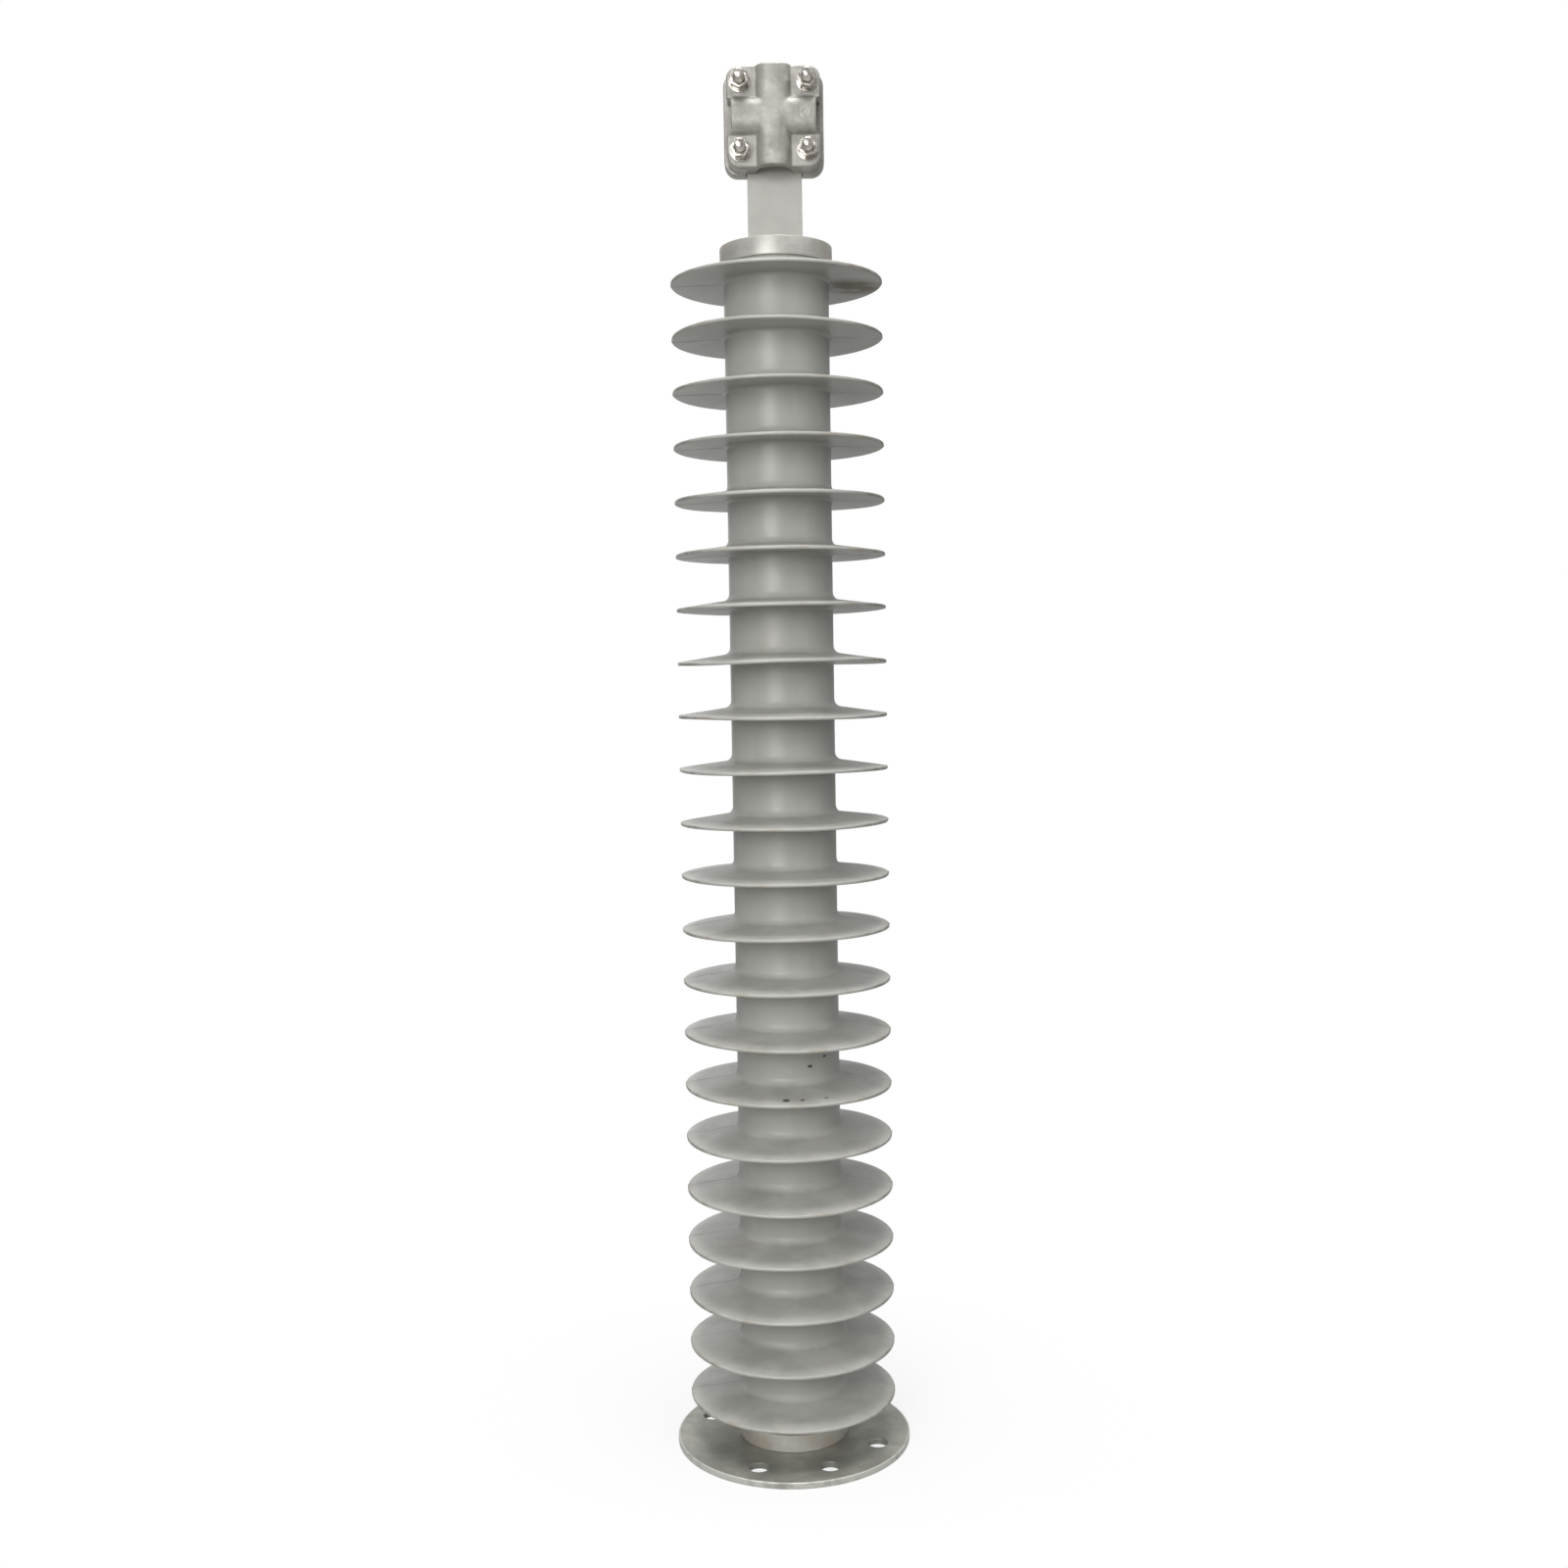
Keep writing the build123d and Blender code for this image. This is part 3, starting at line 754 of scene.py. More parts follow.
@dataclass
class Housing:
    """Silicone housing with its sheds, slightly drooping rims and moulding flash."""

    shed_count: int = 22
    pitch: float = 40.8 * MM
    first_rim: float = 18.1 * MM
    rim_radius: float = 80.0 * MM
    rim_thickness: float = 2.4 * MM
    top_slope: float = 8.0
    under_slope: float = 2.5
    upper_fillet: float = 6.0 * MM
    lower_fillet: float = 3.0 * MM
    rim_rounding: float = 0.95 * MM
    droop: float = 0.75 * MM
    flash: float = 0.24 * MM
    flash_half_width: float = 0.5 * MM
    flash_columns: tuple[float, ...] = (-0.75, -0.35, 0.35, 0.75)
    columns: int = 132
    wall: float = 3.5 * MM
    seed: int = 5
    waves_and_shares: tuple[tuple[int, float], ...] = ((1, 0.9), (2, 0.7), (3, 0.35), (5, 0.15))
    wave_spread: float = 1.6
    mean_sink: float = 0.25
    most_droop: float = 2.2

    def __post_init__(self) -> None:
        """Read the housing's ends and its core and bore from the construction model."""
        low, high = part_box("housing")
        self.bottom, self.top = low[2], high[2]
        self.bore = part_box("frp_tube")[1][0]
        self.core = self.bore + self.wall

    def shed_corners(self, number: int) -> list[Triple]:
        """Return one shed's corners from its underside root round the rim to its upper root.

        Args:
            number: The shed's number from the bottom.

        Returns:
            (radius, height, corner radius) for each corner.
        """
        rim_bottom = self.bottom + self.first_rim + number * self.pitch
        rim_top = rim_bottom + self.rim_thickness
        reach = self.rim_radius - self.core
        rise_under = reach * math.tan(math.radians(self.under_slope))
        rise_top = reach * math.tan(math.radians(self.top_slope))
        return [(self.core, rim_bottom + rise_under, self.lower_fillet),
                (self.rim_radius, rim_bottom, self.rim_rounding),
                (self.rim_radius, rim_top, self.rim_rounding),
                (self.core, rim_top + rise_top, self.upper_fillet)]

    def angles(self) -> Array:
        """Return the angles of the grid's columns, closer together at the two moulding lines.

        Returns:
            The angles in radians, in rising order.
        """
        even = np.linspace(0, 2 * np.pi, self.columns, endpoint=False)
        close = np.radians(self.flash_columns)
        return np.unique(np.concatenate([even, close % (2 * np.pi), np.pi + close]))

    def surface(self) -> tuple[Array, Array]:
        """Work out the housing's points and quads.

        The profile is turned about Z. Each shed then sinks or lifts by a small sum of waves
        round its rim, weighted by the square of how far out a point lies, and the flash lifts
        the skin along the profile's normal by a bell curve at the two moulding lines.

        Returns:
            The grid's points and quads.
        """
        corners = [(self.core, self.bottom, 0.0)]
        for number in range(self.shed_count):
            corners += self.shed_corners(number)
        corners.append((self.core, self.top, 0.0))
        profile = rounded_profile(corners, pieces=5)
        tangent = np.gradient(profile, axis=0)
        tangent /= np.linalg.norm(tangent, axis=1, keepdims=True)
        normal = np.stack([tangent[:, 1], -tangent[:, 0]], axis=1)
        angle = self.angles()
        beside = np.abs(np.sin(angle))[None, :] * profile[:, :1]
        lift = self.flash * np.exp(-(beside / self.flash_half_width) ** 2)
        radius = profile[:, :1] + normal[:, :1] * lift
        height = profile[:, 1:] + normal[:, 1:] * lift
        outward = np.clip((profile[:, :1] - self.core) / (self.rim_radius - self.core), 0, 1)
        shed = np.round((profile[:, 1] - self.bottom - self.first_rim) / self.pitch)
        shed = np.clip(shed, 0, self.shed_count - 1).astype(int)
        height = height + outward ** 2 * self.waves(angle)[shed]
        x, y = radius * np.cos(angle), radius * np.sin(angle)
        skin = np.stack([x, y, height], axis=-1)
        bore = turned_surface(np.array([[self.bore, self.top], [self.bore, self.bottom]]), angle)
        points = np.concatenate([skin, bore], axis=0)
        rows, columns = points.shape[:2]
        return points.reshape(-1, 3), grid_faces(rows, columns, True, True)

    def waves(self, angle: Array) -> Array:
        """Return how far each shed's rim lies above its true height at each angle.

        Args:
            angle: The angles of the grid's columns.

        Returns:
            Heights by shed and angle: a sum of cosines with random sizes and phases.
        """
        random = np.random.default_rng(self.seed)
        total = np.zeros((self.shed_count, len(angle)))
        for order, share in self.waves_and_shares:
            size = random.normal(0, share * self.droop / self.wave_spread, (self.shed_count, 1))
            phase = random.uniform(0, 2 * np.pi, (self.shed_count, 1))
            total += size * np.cos(order * angle[None, :] - phase)
        most = self.most_droop * self.droop
        return np.clip(total - self.mean_sink * self.droop, -most, most)

    def build(self) -> None:
        """Make the housing and let it stand for the construction node."""
        points, faces = self.surface()
        rubber = SiliconeRubber().material()
        piece = make_piece("silicone_housing", points, faces, rubber, smooth_angle=60.0)
        settle(piece, "housing")


@dataclass
class EndFitting:
    """Turned aluminium fitting whose ring shows between the housing and the plate or terminal."""

    node: str
    direction: float
    ring_height: float = 13.8 * MM
    spigot_gap: float = 0.15 * MM
    bore: float = 25.0 * MM
    tube_wall: float = 6.0 * MM
    edge: float = 0.9 * MM
    spigot_edge: float = 1.0 * MM
    seat_edge: float = 0.3 * MM
    seat_radius: float = 0.0
    seat_depth: float = 0.0
    columns: int = 192
    finish: TurnedAluminium = TurnedAluminium()

    def profile(self) -> Array:
        """Return the fitting's half section from its bore outwards and back, ring first.

        Returns:
            The (radius, height) points.
        """
        low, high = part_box(self.node)
        start = low[2] if self.direction > 0 else high[2]
        ring = high[0]
        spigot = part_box("frp_tube")[1][0] - self.tube_wall - self.spigot_gap
        length = high[2] - low[2]
        corners = [(self.bore, self.seat_depth, 0.0)]
        if self.seat_depth > 0:
            corners += [(self.seat_radius, self.seat_depth, 0.0),
                        (self.seat_radius, 0.0, self.seat_edge)]
        corners += [(ring, 0.0, self.edge), (ring, self.ring_height, self.edge),
                    (spigot, self.ring_height, 0.0), (spigot, length, self.spigot_edge),
                    (self.bore, length, 0.0), (self.bore, self.seat_depth, 0.0)]
        profile = rounded_profile(corners, pieces=4)[:-1]
        profile[:, 1] = start + self.direction * profile[:, 1]
        return profile

    def build(self) -> None:
        """Make the fitting and let it stand for its construction node."""
        angles = np.linspace(0, 2 * np.pi, self.columns, endpoint=False)
        grid = turned_surface(self.profile(), angles)
        faces = grid_faces(*grid.shape[:2], True, True)
        piece = make_piece(f"{self.node}_turned", grid.reshape(-1, 3), faces,
                           self.finish.material(), smooth_angle=35.0)
        settle(piece, self.node)


@dataclass
class Casting:
    """Closed cast block whose front and back are heights over a rounded rectangle.

    A height is a distance in front of the clamp's parting plane. The grid's rows are chords of
    the outline: a point's X is its column's share times the outline's half width at its row.
    """

    name: str
    node: str
    width: float
    height: float
    corner: float
    front: Callable[[Array, Array], Array]
    back: Callable[[Array, Array], Array]
    parting: float
    middle: float
    edge: float = 2.0 * MM
    back_edge: float = 0.0
    waist: float = 0.0
    waist_half_height: float = 13.0 * MM
    waist_softness: float = 0.4 * MM
    step: float = 0.6 * MM
    corner_rows: int = 14
    side_margin: float = 3.0 * MM
    side_columns: int = 7
    wall_rows: int = 5

    def graded(self, half: float, margin: float, margin_points: int) -> Array:
        """Return places from -half to half, spaced evenly but closing up like a sine at both ends.

        Args:
            half: Half the whole length.
            margin: Length of each end part.
            margin_points: Number of places in an end part.

        Returns:
            The places in rising order.
        """
        turn = np.linspace(0, np.pi / 2, margin_points + 1)[1:]
        end = half - margin + margin * np.sin(turn)
        even = half - margin
        inner = np.linspace(-even, even, int(2 * even / self.step) + 1)
        return np.concatenate([-end[::-1], inner, end])

    def half_width(self, z: Array) -> Array:
        """Return the outline's half width at a height.

        Args:
            z: Height from the middle.

        Returns:
            Half the full width, less a circle's sagitta at the corners, and less the waist
            beside the level ridge.
        """
        into = np.clip(np.abs(z) - (self.height / 2 - self.corner), 0, self.corner)
        corner = self.corner - np.sqrt(np.maximum(self.corner ** 2 - into ** 2, 0))
        past = np.abs(z) - self.waist_half_height
        dip = self.waist * inside_share(past, self.waist_softness)
        return self.width / 2 - corner - dip

    def rim_distance(self, x: Array, z: Array) -> Array:
        """Return how far inside the outline a point lies.

        Args:
            x: The points' X.
            z: The points' height from the middle.

        Returns:
            The distance to the rounded rectangle, or to the waist where that is nearer.
        """
        qx = np.abs(x) - (self.width / 2 - self.corner)
        qz = np.abs(z) - (self.height / 2 - self.corner)
        outside = np.hypot(np.maximum(qx, 0), np.maximum(qz, 0))
        outside = outside + np.minimum(np.maximum(qx, qz), 0)
        beside_waist = self.half_width(z) - np.abs(x)
        return np.maximum(np.minimum(self.corner - outside, beside_waist), 0)

    def rounding(self, distance: Array, radius: float) -> Array:
        """Return how far a face falls back near the rim.

        Args:
            distance: How far inside the outline each point lies.
            radius: The rounding's radius.

        Returns:
            The radius less the height of a quarter circle.
        """
        if radius <= 0:
            return np.zeros_like(distance)
        into = np.clip(radius - distance, 0, radius)
        return radius - np.sqrt(radius ** 2 - into ** 2)

    def surface(self) -> tuple[Array, Array]:
        """Work out the casting's points and quads.

        Returns:
            The points and quads of the front grid, the back grid and the wall between them.
        """
        z_line = self.graded(self.height / 2, self.corner, self.corner_rows)
        x = self.graded_share()[None, :] * self.half_width(z_line)[:, None]
        z = np.broadcast_to(z_line[:, None], x.shape)
        inside = self.rim_distance(x, z)
        front = self.front(x, z) - self.rounding(inside, self.edge)
        back = self.back(x, z) + self.rounding(inside, self.back_edge)
        front, back = (np.stack([x, self.parting - face, z + self.middle], axis=-1).reshape(-1, 3)
                       for face in (front, back))
        rows, columns = x.shape
        ring = np.concatenate([np.arange(columns), columns - 1 + columns * np.arange(1, rows),
                               columns * (rows - 1) + np.arange(columns - 2, -1, -1),
                               columns * np.arange(rows - 2, 0, -1)])
        blend = np.linspace(0, 1, self.wall_rows + 2)[1:-1, None, None]
        wall = front[ring] * (1 - blend) + back[ring] * blend
        count = rows * columns
        between = 2 * count + np.arange(self.wall_rows * len(ring)).reshape(self.wall_rows, -1)
        rings = [ring, *between, ring + count]
        walls = [np.stack([upper, lower, np.roll(lower, -1), np.roll(upper, -1)], axis=1)
                 for upper, lower in zip(rings, rings[1:])]
        faces = [grid_faces(rows, columns, False, False),
                 grid_faces(rows, columns, False, False, count)[:, ::-1], *walls]
        return np.concatenate([front, back, wall.reshape(-1, 3)]), np.concatenate(faces)

    def graded_share(self) -> Array:
        """Return the columns' shares of the half width, from -1 to 1, closing up at both rims."""
        half = self.width / 2
        return self.graded(half, self.side_margin, self.side_columns) / half

    def build(self, material: bpy.types.Material) -> None:
        """Make the casting and let it stand for its construction node."""
        piece = make_piece(self.name, *self.surface(), material, smooth_angle=50.0)
        settle(piece, self.node)


def smooth_greater(first: Array, second: Array, blend: float) -> Array:
    """Return the greater of two heights with the corner between them rounded.

    Args:
        first: The first heights.
        second: The second heights.
        blend: Size of the rounding.

    Returns:
        Half of their sum plus the root of their difference squared and the blend squared.
    """
    return 0.5 * (first + second + np.sqrt((first - second) ** 2 + blend ** 2))


@dataclass
class LineClamp:
    """Two-part clamp on the terminal's bar with its four bolts, nuts and washers."""

    keeper_depth: float = 18.0 * MM
    ridge_rise: float = 7.0 * MM
    ridge_half_width: float = 13.2 * MM
    level_ridge_half_width: float = 14.3 * MM
    ridge_fullness: float = 2.7
    ridge_root: float = 6.0 * MM
    ridge_blend: float = 1.6 * MM
    pad_blend: float = 1.3 * MM
    groove_radius: float = 11.75 * MM
    groove_depth: float = 15.6 * MM
    groove_softness: float = 0.12 * MM
    mouth_flare: float = 3.0 * MM
    flare_share: float = 0.6
    keeper_corner: float = 9.0 * MM
    plate_corner: float = 10.0 * MM
    waist: float = 3.2 * MM
    bar_half_width: float = 20.5 * MM
    bar_thickness: float = 8.0 * MM
    channel_gap: float = 0.2 * MM
    channel_softness: float = 0.1 * MM
    keeper_edge: float = 1.6 * MM
    plate_edge: float = 1.2 * MM
    marks: tuple[tuple[float, float], ...] = ((0.0, -24.0 * MM), (24.0 * MM, 0.5 * MM))
    mark_radius: float = 3.4 * MM
    mark_width: float = 0.55 * MM
    mark_height: float = 0.35 * MM

    def __post_init__(self) -> None:
        """Read the clamp's planes and sizes from the construction model."""
        low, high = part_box("clamp_keeper")
        self.keeper_width, self.keeper_height = high[0] - low[0], high[2] - low[2]
        self.parting = high[1]
        self.middle = (low[2] + high[2]) / 2
        low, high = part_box("clamp_back_plate")
        self.plate_width, self.plate_height = high[0] - low[0], high[2] - low[2]
        self.plate_depth = high[1] - low[1]

    def ridge(self, across: Array, half_width: float) -> Array:
        """Return a ridge's height over its width: a full arch, (1 - share^n)^(1/n).

        Args:
            across: Distance from the ridge's middle line.
            half_width: The ridge's half width.

        Returns:
            The heights, from the root below the pads to the crest.
        """
        share = np.clip(np.abs(across) / half_width, 0, 1)
        arch = (1 - share ** self.ridge_fullness) ** (1 / self.ridge_fullness)
        return self.keeper_depth - self.ridge_root + (self.ridge_rise + self.ridge_root) * arch

    def keeper_front(self, x: Array, z: Array) -> Array:
        """Return the keeper's front: four flat pads with two crossed ridges and two ring marks.

        Args:
            x: The points' X.
            z: The points' height from the middle.

        Returns:
            The heights in front of the parting plane.
        """
        upright = self.ridge(x, self.ridge_half_width)
        level = self.ridge(z, self.level_ridge_half_width)
        cross = smooth_greater(upright, level, self.ridge_blend)
        face = smooth_greater(np.full_like(x, self.keeper_depth), cross, self.pad_blend)
        for mark_x, mark_z in self.marks:
            away = np.abs(np.hypot(x - mark_x, z - mark_z) - self.mark_radius)
            face = face + self.mark_height * np.exp(-(away / self.mark_width) ** 2)
        return face

    def groove(self, across: Array, to_end: Array) -> Array:
        """Return a groove's depth: an upright-walled arch that widens and deepens at its mouths.

        Args:
            across: Distance from the groove's middle line.
            to_end: Distance to the nearer mouth.

        Returns:
            The depths.
        """
        flare = self.mouth_flare * np.clip(1 - to_end / (2 * self.mouth_flare), 0, 1) ** 2
        radius = self.groove_radius + self.flare_share * flare
        arch = np.sqrt(np.maximum(radius ** 2 - across ** 2, 0))
        straight = self.groove_depth - self.groove_radius + self.flare_share * flare
        return arch + straight * inside_share(np.abs(across) - radius, self.groove_softness)

    def keeper_back(self, x: Array, z: Array) -> Array:
        """Return the keeper's rear face: flat on the parting plane with two crossed grooves.

        Args:
            x: The points' X.
            z: The points' height from the middle.

        Returns:
            The heights in front of the parting plane.
        """
        upright = self.groove(x, self.keeper_height / 2 - np.abs(z))
        level = self.groove(z, self.keeper_width / 2 - self.waist - np.abs(x))
        return np.maximum(upright, level)

    def plate_front(self, x: Array, z: Array) -> Array:
        """Return the back plate's front: flat with the channel that takes the bar."""
        past = np.abs(x) - (self.bar_half_width + self.channel_gap)
        return -self.bar_thickness * inside_share(past, self.channel_softness)

    def plate_back(self, x: Array, z: Array) -> Array:
        """Return the back plate's flat rear face."""
        return np.full_like(x, -self.plate_depth)

    def castings(self) -> None:
        """Make the keeper and the back plate."""
        material = CastAluminium().material()
        Casting("clamp_keeper_casting", "clamp_keeper", self.keeper_width, self.keeper_height,
                self.keeper_corner, self.keeper_front, self.keeper_back, self.parting,
                self.middle, edge=self.keeper_edge, waist=self.waist).build(material)
        Casting("clamp_back_casting", "clamp_back_plate", self.plate_width, self.plate_height,
                self.plate_corner, self.plate_front, self.plate_back, self.parting,
                self.middle, edge=self.plate_edge, back_edge=self.keeper_edge).build(material)

    def build(self) -> None:
        """Make the castings and the bolts."""
        self.castings()
        Bolts(self.middle).build()


@dataclass
class Bolts:
    """Four hexagon bolts with cut threads, as one group."""

    middle: float
    thread_radius: float = 4.0 * MM
    thread_pitch: float = 1.25 * MM
    thread_depth: float = 0.62 * MM
    thread_length: float = 22.0 * MM
    rows_per_turn: int = 6
    plain_tip: float = 0.9 * MM
    tip_steps: tuple[tuple[float, float], ...] = (
        (0.7 * MM, 0.35 * MM), (0.1 * MM, 0.95 * MM), (0.0, 1.2 * MM))
    centre_radius: float = 0.05 * MM
    half_flats: float = 6.5 * MM
    head_height: float = 5.3 * MM
    chamfer: tuple[float, float] = (0.7 * MM, 1.1 * MM)
    face_share: float = 0.93
    chamfer_share: float = 1.1
    spacing: float = 50.0 * MM
    columns: int = 48

    def __post_init__(self) -> None:
        """Read the bolts' ends from the construction model."""
        low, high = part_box("clamp_bolts")
        self.head_end, self.tip = high[1], low[1]

    def one(self) -> Array:
        """Return one bolt as a grid: rows run along it from its head's middle to its tip's middle.

        The head's radius is its half flats over the cosine of the angle from the nearest flat's
        middle. The thread's radius falls by a triangle wave of the height less the turn. The tip
        steps in by (distance from the end, cut from the radius).

        Returns:
            The points, by row and angle.
        """
        angle = np.linspace(0, 2 * np.pi, self.columns, endpoint=False)
        sixth = np.pi / 3
        hexagon = self.half_flats / np.cos((angle + sixth / 2) % sixth - sixth / 2)
        circle = np.ones(self.columns)
        length = self.head_end - self.tip
        start = length - self.thread_length
        rows = [(0.0, circle * self.centre_radius),
                (0.0, circle * self.half_flats * self.face_share),
                (self.chamfer[0], np.minimum(hexagon, self.half_flats * self.chamfer_share)),
                (self.chamfer[1], hexagon), (self.head_height, hexagon),
                (self.head_height, circle * self.thread_radius),
                (start, circle * self.thread_radius)]
        step = self.thread_pitch / self.rows_per_turn
        for along in np.arange(start + step, length - self.plain_tip, step):
            phase = (along / self.thread_pitch - angle / (2 * np.pi)) % 1.0
            rows.append((along, self.thread_radius - self.thread_depth * np.abs(2 * phase - 1)))
        rows += [(length - back, circle * (self.thread_radius - cut))
                 for back, cut in self.tip_steps]
        rows.append((length, circle * self.centre_radius))
        along = np.array([row[0] for row in rows])[:, None]
        radius = np.array([row[1] for row in rows])
        x, z = radius * np.cos(angle), radius * np.sin(angle)
        return np.stack([x, np.broadcast_to(self.head_end - along, x.shape), z], axis=-1)

    def build(self) -> None:
        """Make the group and let it stand for the construction node."""
        grid = self.one()
        rows, columns = grid.shape[:2]
        points, faces = [], []
        for number, (x, z) in enumerate((a, b) for a in (-1, 1) for b in (-1, 1)):
            shift = np.array([x * self.spacing / 2, 0.0, self.middle + z * self.spacing / 2])
            first = number * (rows * columns + 2)
            ends = np.array([[0, self.head_end, 0], [0, self.tip, 0]])
            points += [grid.reshape(-1, 3) + shift, ends + shift]
            head, tip = first + rows * columns, first + rows * columns + 1
            faces += [grid_faces(rows, columns, False, True, first), self.cap(first, head),
                      self.cap(first + (rows - 1) * columns, tip)[:, ::-1]]
        piece = make_piece("clamp_bolts_threaded", np.concatenate(points), np.concatenate(faces),
                           BRIGHT_STEEL.material(), smooth_angle=30.0)
        settle(piece, "clamp_bolts")

    def cap(self, first: int, centre: int) -> Array:
        """Return quads that close a ring of points round a centre, two columns to a quad.

        Args:
            first: Number of the ring's first point.
            centre: Number of the centre's point.

        Returns:
            The quads.
        """
        even = np.arange(0, self.columns, 2)
        end = first + (even + 2) % self.columns
        return np.stack([np.full_like(even, centre), end, first + even + 1, first + even], axis=1)


# ---------------------------------------------------------------- construction nodes


def dress(nodes: Iterable[str], material: bpy.types.Material) -> None:
    """Give construction nodes a finish in every material slot.

    Args:
        nodes: The nodes' names.
        material: The finish.
    """
    for node in nodes:
        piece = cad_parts[node]
        for slot in piece.material_slots:
            slot.material = material
        LOG.info("%s dressed in %s", node, material.name)


def dress_construction() -> None:
    """Dress the nodes that stay, and stand softened copies in for the plain ones that show."""
    dress(["disc_spacers", "end_contacts"], TurnedAluminium().material())
    dress(["cover_screws", "disc_springs"], ZINC_STEEL.material())
    dress(["frp_tube"], GLASS_FIBRE.material())
    dress(["mo_discs"], METAL_OXIDE.material())
    worked_copy("base_plate", "base_plate_worn",
                GalvanisedPlate().material(), 0.9 * MM, segments=3)
    worked_copy("line_terminal", "line_terminal_cast",
                FLAT_BAR.material(), 0.7 * MM, segments=3)
    steel = BRIGHT_STEEL.material()
    edges = {"clamp_nuts": 0.35 * MM, "clamp_plain_washers": 0.25 * MM,
             "clamp_spring_washers": 0.25 * MM}
    for node, width in edges.items():
        worked_copy(node, f"{node}_softened", steel, width, segments=2)


# ---------------------------------------------------------------- stage


@dataclass(frozen=True)
class Lamp:
    """One soft square lamp: its name, place, aimed point, side in metres and power in watts."""

    name: str
    place: Triple
    aim: Triple
    size: float
    power: float

    def hang(self) -> None:
        """Put the lamp into the scene, facing the aimed point."""
        light = bpy.data.lights.new(self.name, "AREA")
        light.size = self.size
        light.energy = self.power
        direction = Vector(np.subtract(self.aim, self.place).tolist())
        turn = direction.to_track_quat("-Z", "Y").to_matrix().to_4x4()
        add_object(self.name, light).matrix_world = Matrix.Translation(self.place) @ turn


LAMPS = (Lamp("front_left", (-0.65, -2.0, 1.15), (0.0, 0.0, 0.50), 1.0, 23.0),
         Lamp("front_low", (-0.45, -1.5, 0.70), (0.0, 0.0, 0.03), 0.5, 3.5),
         Lamp("front_right", (1.7, -1.7, 1.3), (0.0, 0.0, 0.50), 1.3, 8.0),
         Lamp("overhead", (0.0, -0.25, 2.7), (0.0, 0.0, 0.50), 1.4, 50.0),
         Lamp("behind", (-0.5, 2.6, 0.9), (0.0, 0.0, 0.50), 1.4, 5.0))


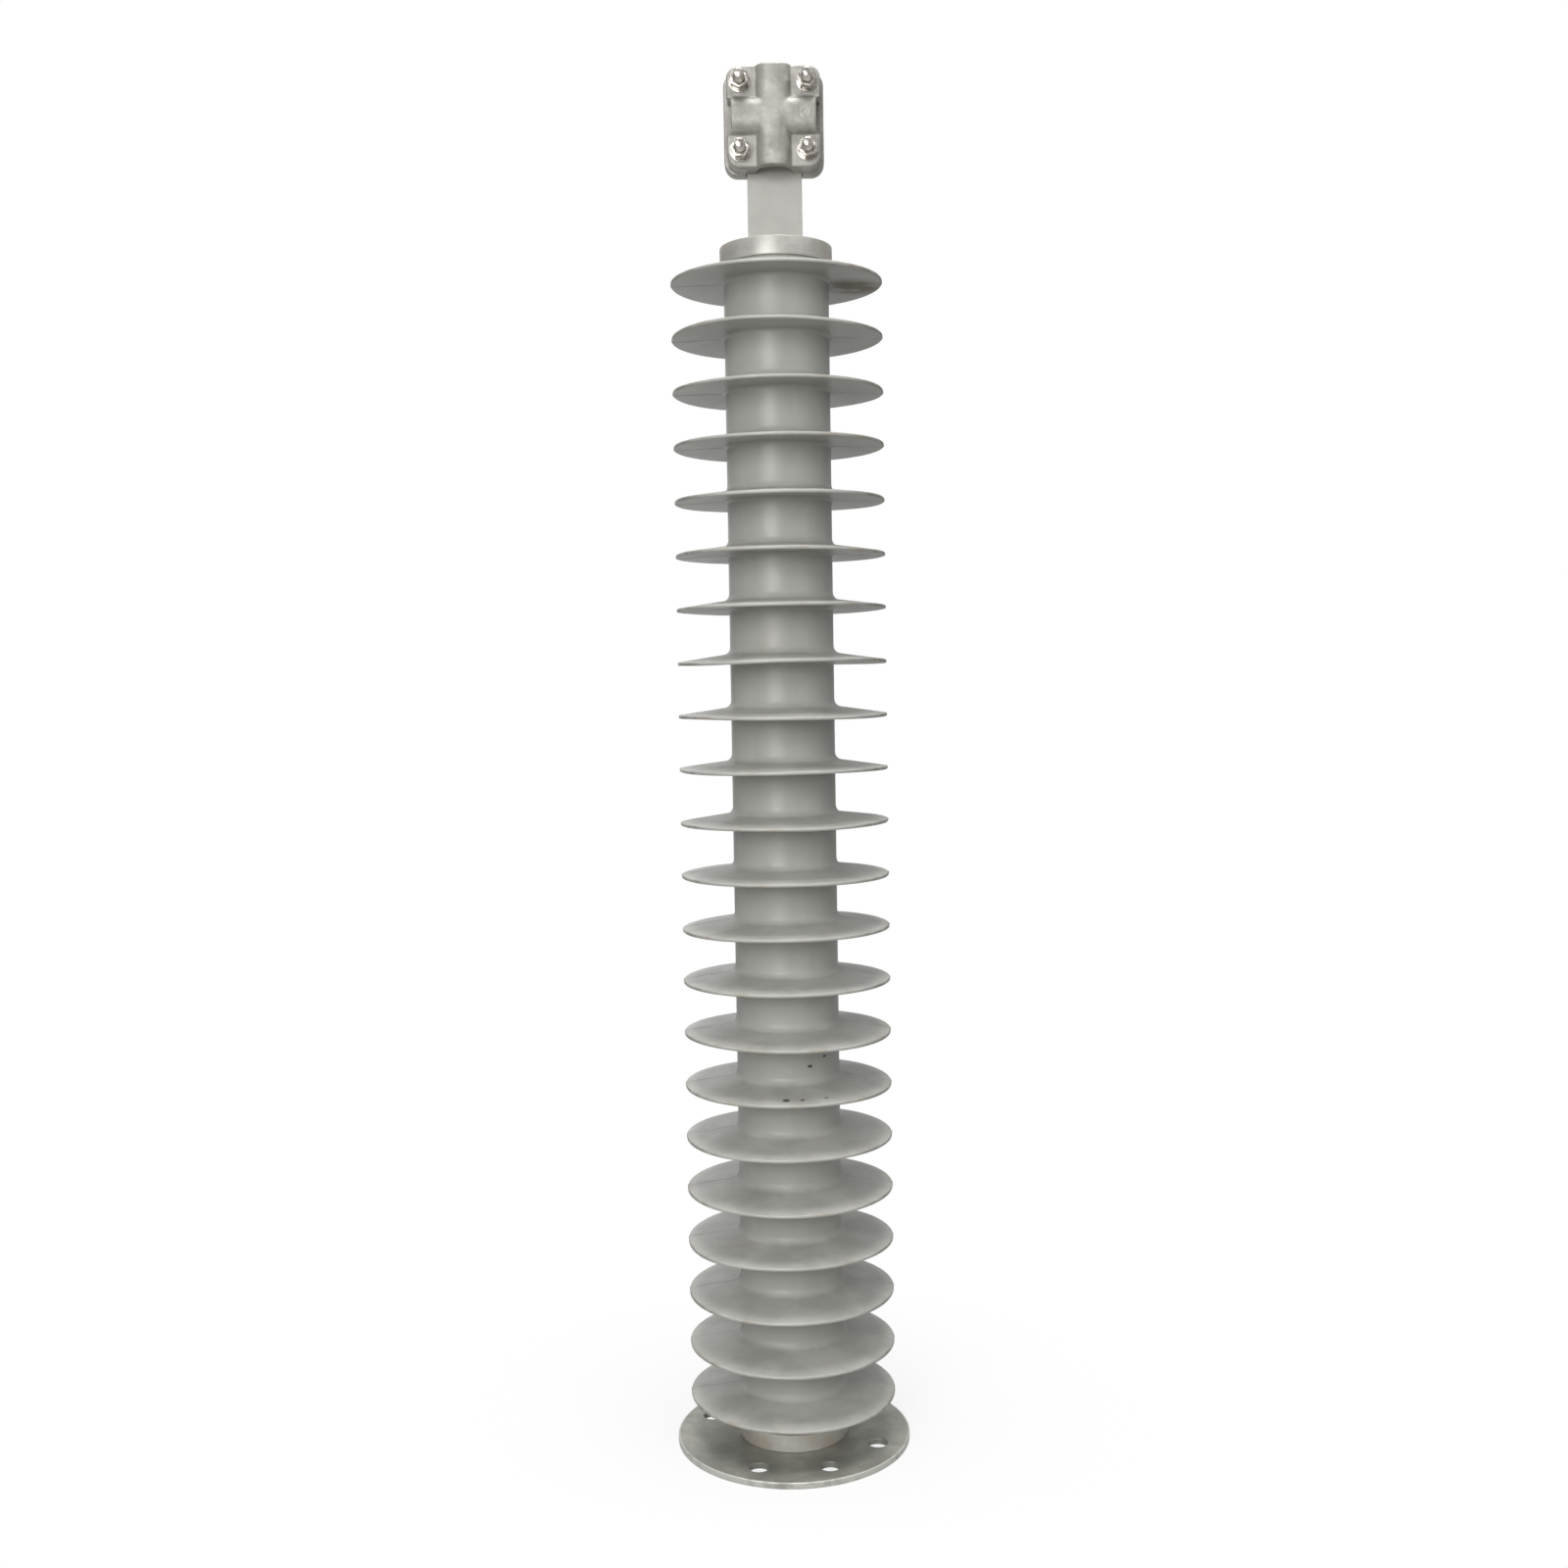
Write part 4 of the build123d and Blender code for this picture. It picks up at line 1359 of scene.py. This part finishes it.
@dataclass
class Studio:
    """Pale floor, white surroundings, soft lamps and the camera."""

    lens: float = 38.74
    sensor: float = 36.0
    distance: float = 1.300
    eye_height: float = 0.596
    pitch: float = 3.54
    roll: float = -0.90
    floor_half: float = 4.0
    fade_start: float = 0.05
    fade_end: float = 0.36
    nearest_share: float = 0.76
    mirrored_share: float = 0.35
    dark_below: float = -0.35
    bright_above: float = 0.85
    light_below: float = 0.07
    light_above: float = 0.60
    floor_colour: Colour = (0.78, 0.78, 0.77)
    floor_bounce: Colour = (0.30, 0.30, 0.29)

    def seen_white(self, graph: Graph) -> Value:
        """Return how much of the plain white surroundings each kind of ray is shown.

        Args:
            graph: The nodes of the floor or the world.

        Returns:
            1 for what the camera sees, also through glass, and a share for what is mirrored.
        """
        camera, clear, glossy = (graph.node("ShaderNodeLightPath", output=ray.value)
                                 for ray in (Ray.CAMERA, Ray.TRANSMISSION, Ray.GLOSSY))
        return glossy * self.mirrored_share + camera.math("MAXIMUM", clear)

    def white_world(self) -> None:
        """Light from all round, stronger from above, and plain white where it is seen."""
        graph = Graph("surroundings", world=True)
        height = graph.split(graph.node("ShaderNodeTexCoord", output="Generated"))[2]
        rise = {0: height, 1: self.dark_below, 2: self.bright_above,
                3: self.light_below, 4: self.light_above}
        strength = graph.node("ShaderNodeMapRange", {"interpolation_type": "SMOOTHSTEP"}, rise)
        lighting = graph.node("ShaderNodeBackground", {}, {"Strength": strength})
        white = graph.node("ShaderNodeBackground", {}, {"Color": WHITE})
        shaders = {0: self.seen_white(graph), 1: lighting, 2: white}
        graph.show(graph.node("ShaderNodeMixShader", {}, shaders))
        bpy.context.scene.world = graph.owner

    def floor(self) -> None:
        """A pale floor that keeps the shadow near the arrester and fades to white further out."""
        half = self.floor_half
        points = [(-half, -half, 0), (half, -half, 0), (half, half, 0), (-half, half, 0)]
        mesh = bpy.data.meshes.new("floor")
        mesh.from_pydata(points, [], [(0, 1, 2, 3)])
        graph = Graph("pale_floor")
        x, y, _ = graph.split(graph.place())
        away = reach(x, y).step(self.fade_start, self.fade_end)
        seen = self.seen_white(graph)
        share = (away * (1.0 - self.nearest_share) + self.nearest_share) * seen
        paint = graph.mix(seen, self.floor_bounce, self.floor_colour)
        matt = graph.node("ShaderNodeBsdfDiffuse", {}, {"Color": paint})
        white = graph.node("ShaderNodeEmission", {}, {"Color": WHITE, "Strength": 1.0})
        graph.show(graph.node("ShaderNodeMixShader", {}, {0: share, 1: matt, 2: white}))
        mesh.materials.append(graph.owner)
        floor = add_object("floor", mesh)

    def camera(self) -> None:
        """Set the camera before the arrester, a little above its middle and slightly rolled."""
        data = bpy.data.cameras.new("camera")
        data.lens = self.lens
        data.sensor_width = self.sensor
        camera = add_object("camera", data)
        eye = Matrix.Translation((0.0, -self.distance, self.eye_height))
        upright = Matrix.Rotation(math.radians(90 - self.pitch), 4, "X")
        rolled = Matrix.Rotation(math.radians(self.roll), 4, "Z")
        camera.matrix_world = eye @ upright @ rolled
        bpy.context.scene.camera = camera

    def build(self) -> None:
        """Set up the whole studio."""
        self.white_world()
        self.floor()
        for lamp in LAMPS:
            lamp.hang()
        self.camera()
        bpy.context.scene.view_settings.view_transform = "Standard"


def main() -> None:
    """Build every sub-assembly in order, then the stage."""
    logging.basicConfig(level=logging.INFO, format="%(message)s")
    dress_construction()
    assemblies = (Housing(), EndFitting("bottom_fitting", 1.0, finish=TURNED_ALUMINIUM_PAINTED_LIGHT),
                  EndFitting("top_fitting", -1.0, seat_radius=37.7 * MM, seat_depth=8.0 * MM),
                  LineClamp(), Studio())
    for assembly in assemblies:
        assembly.build()


if __name__ == "__main__":
    main()
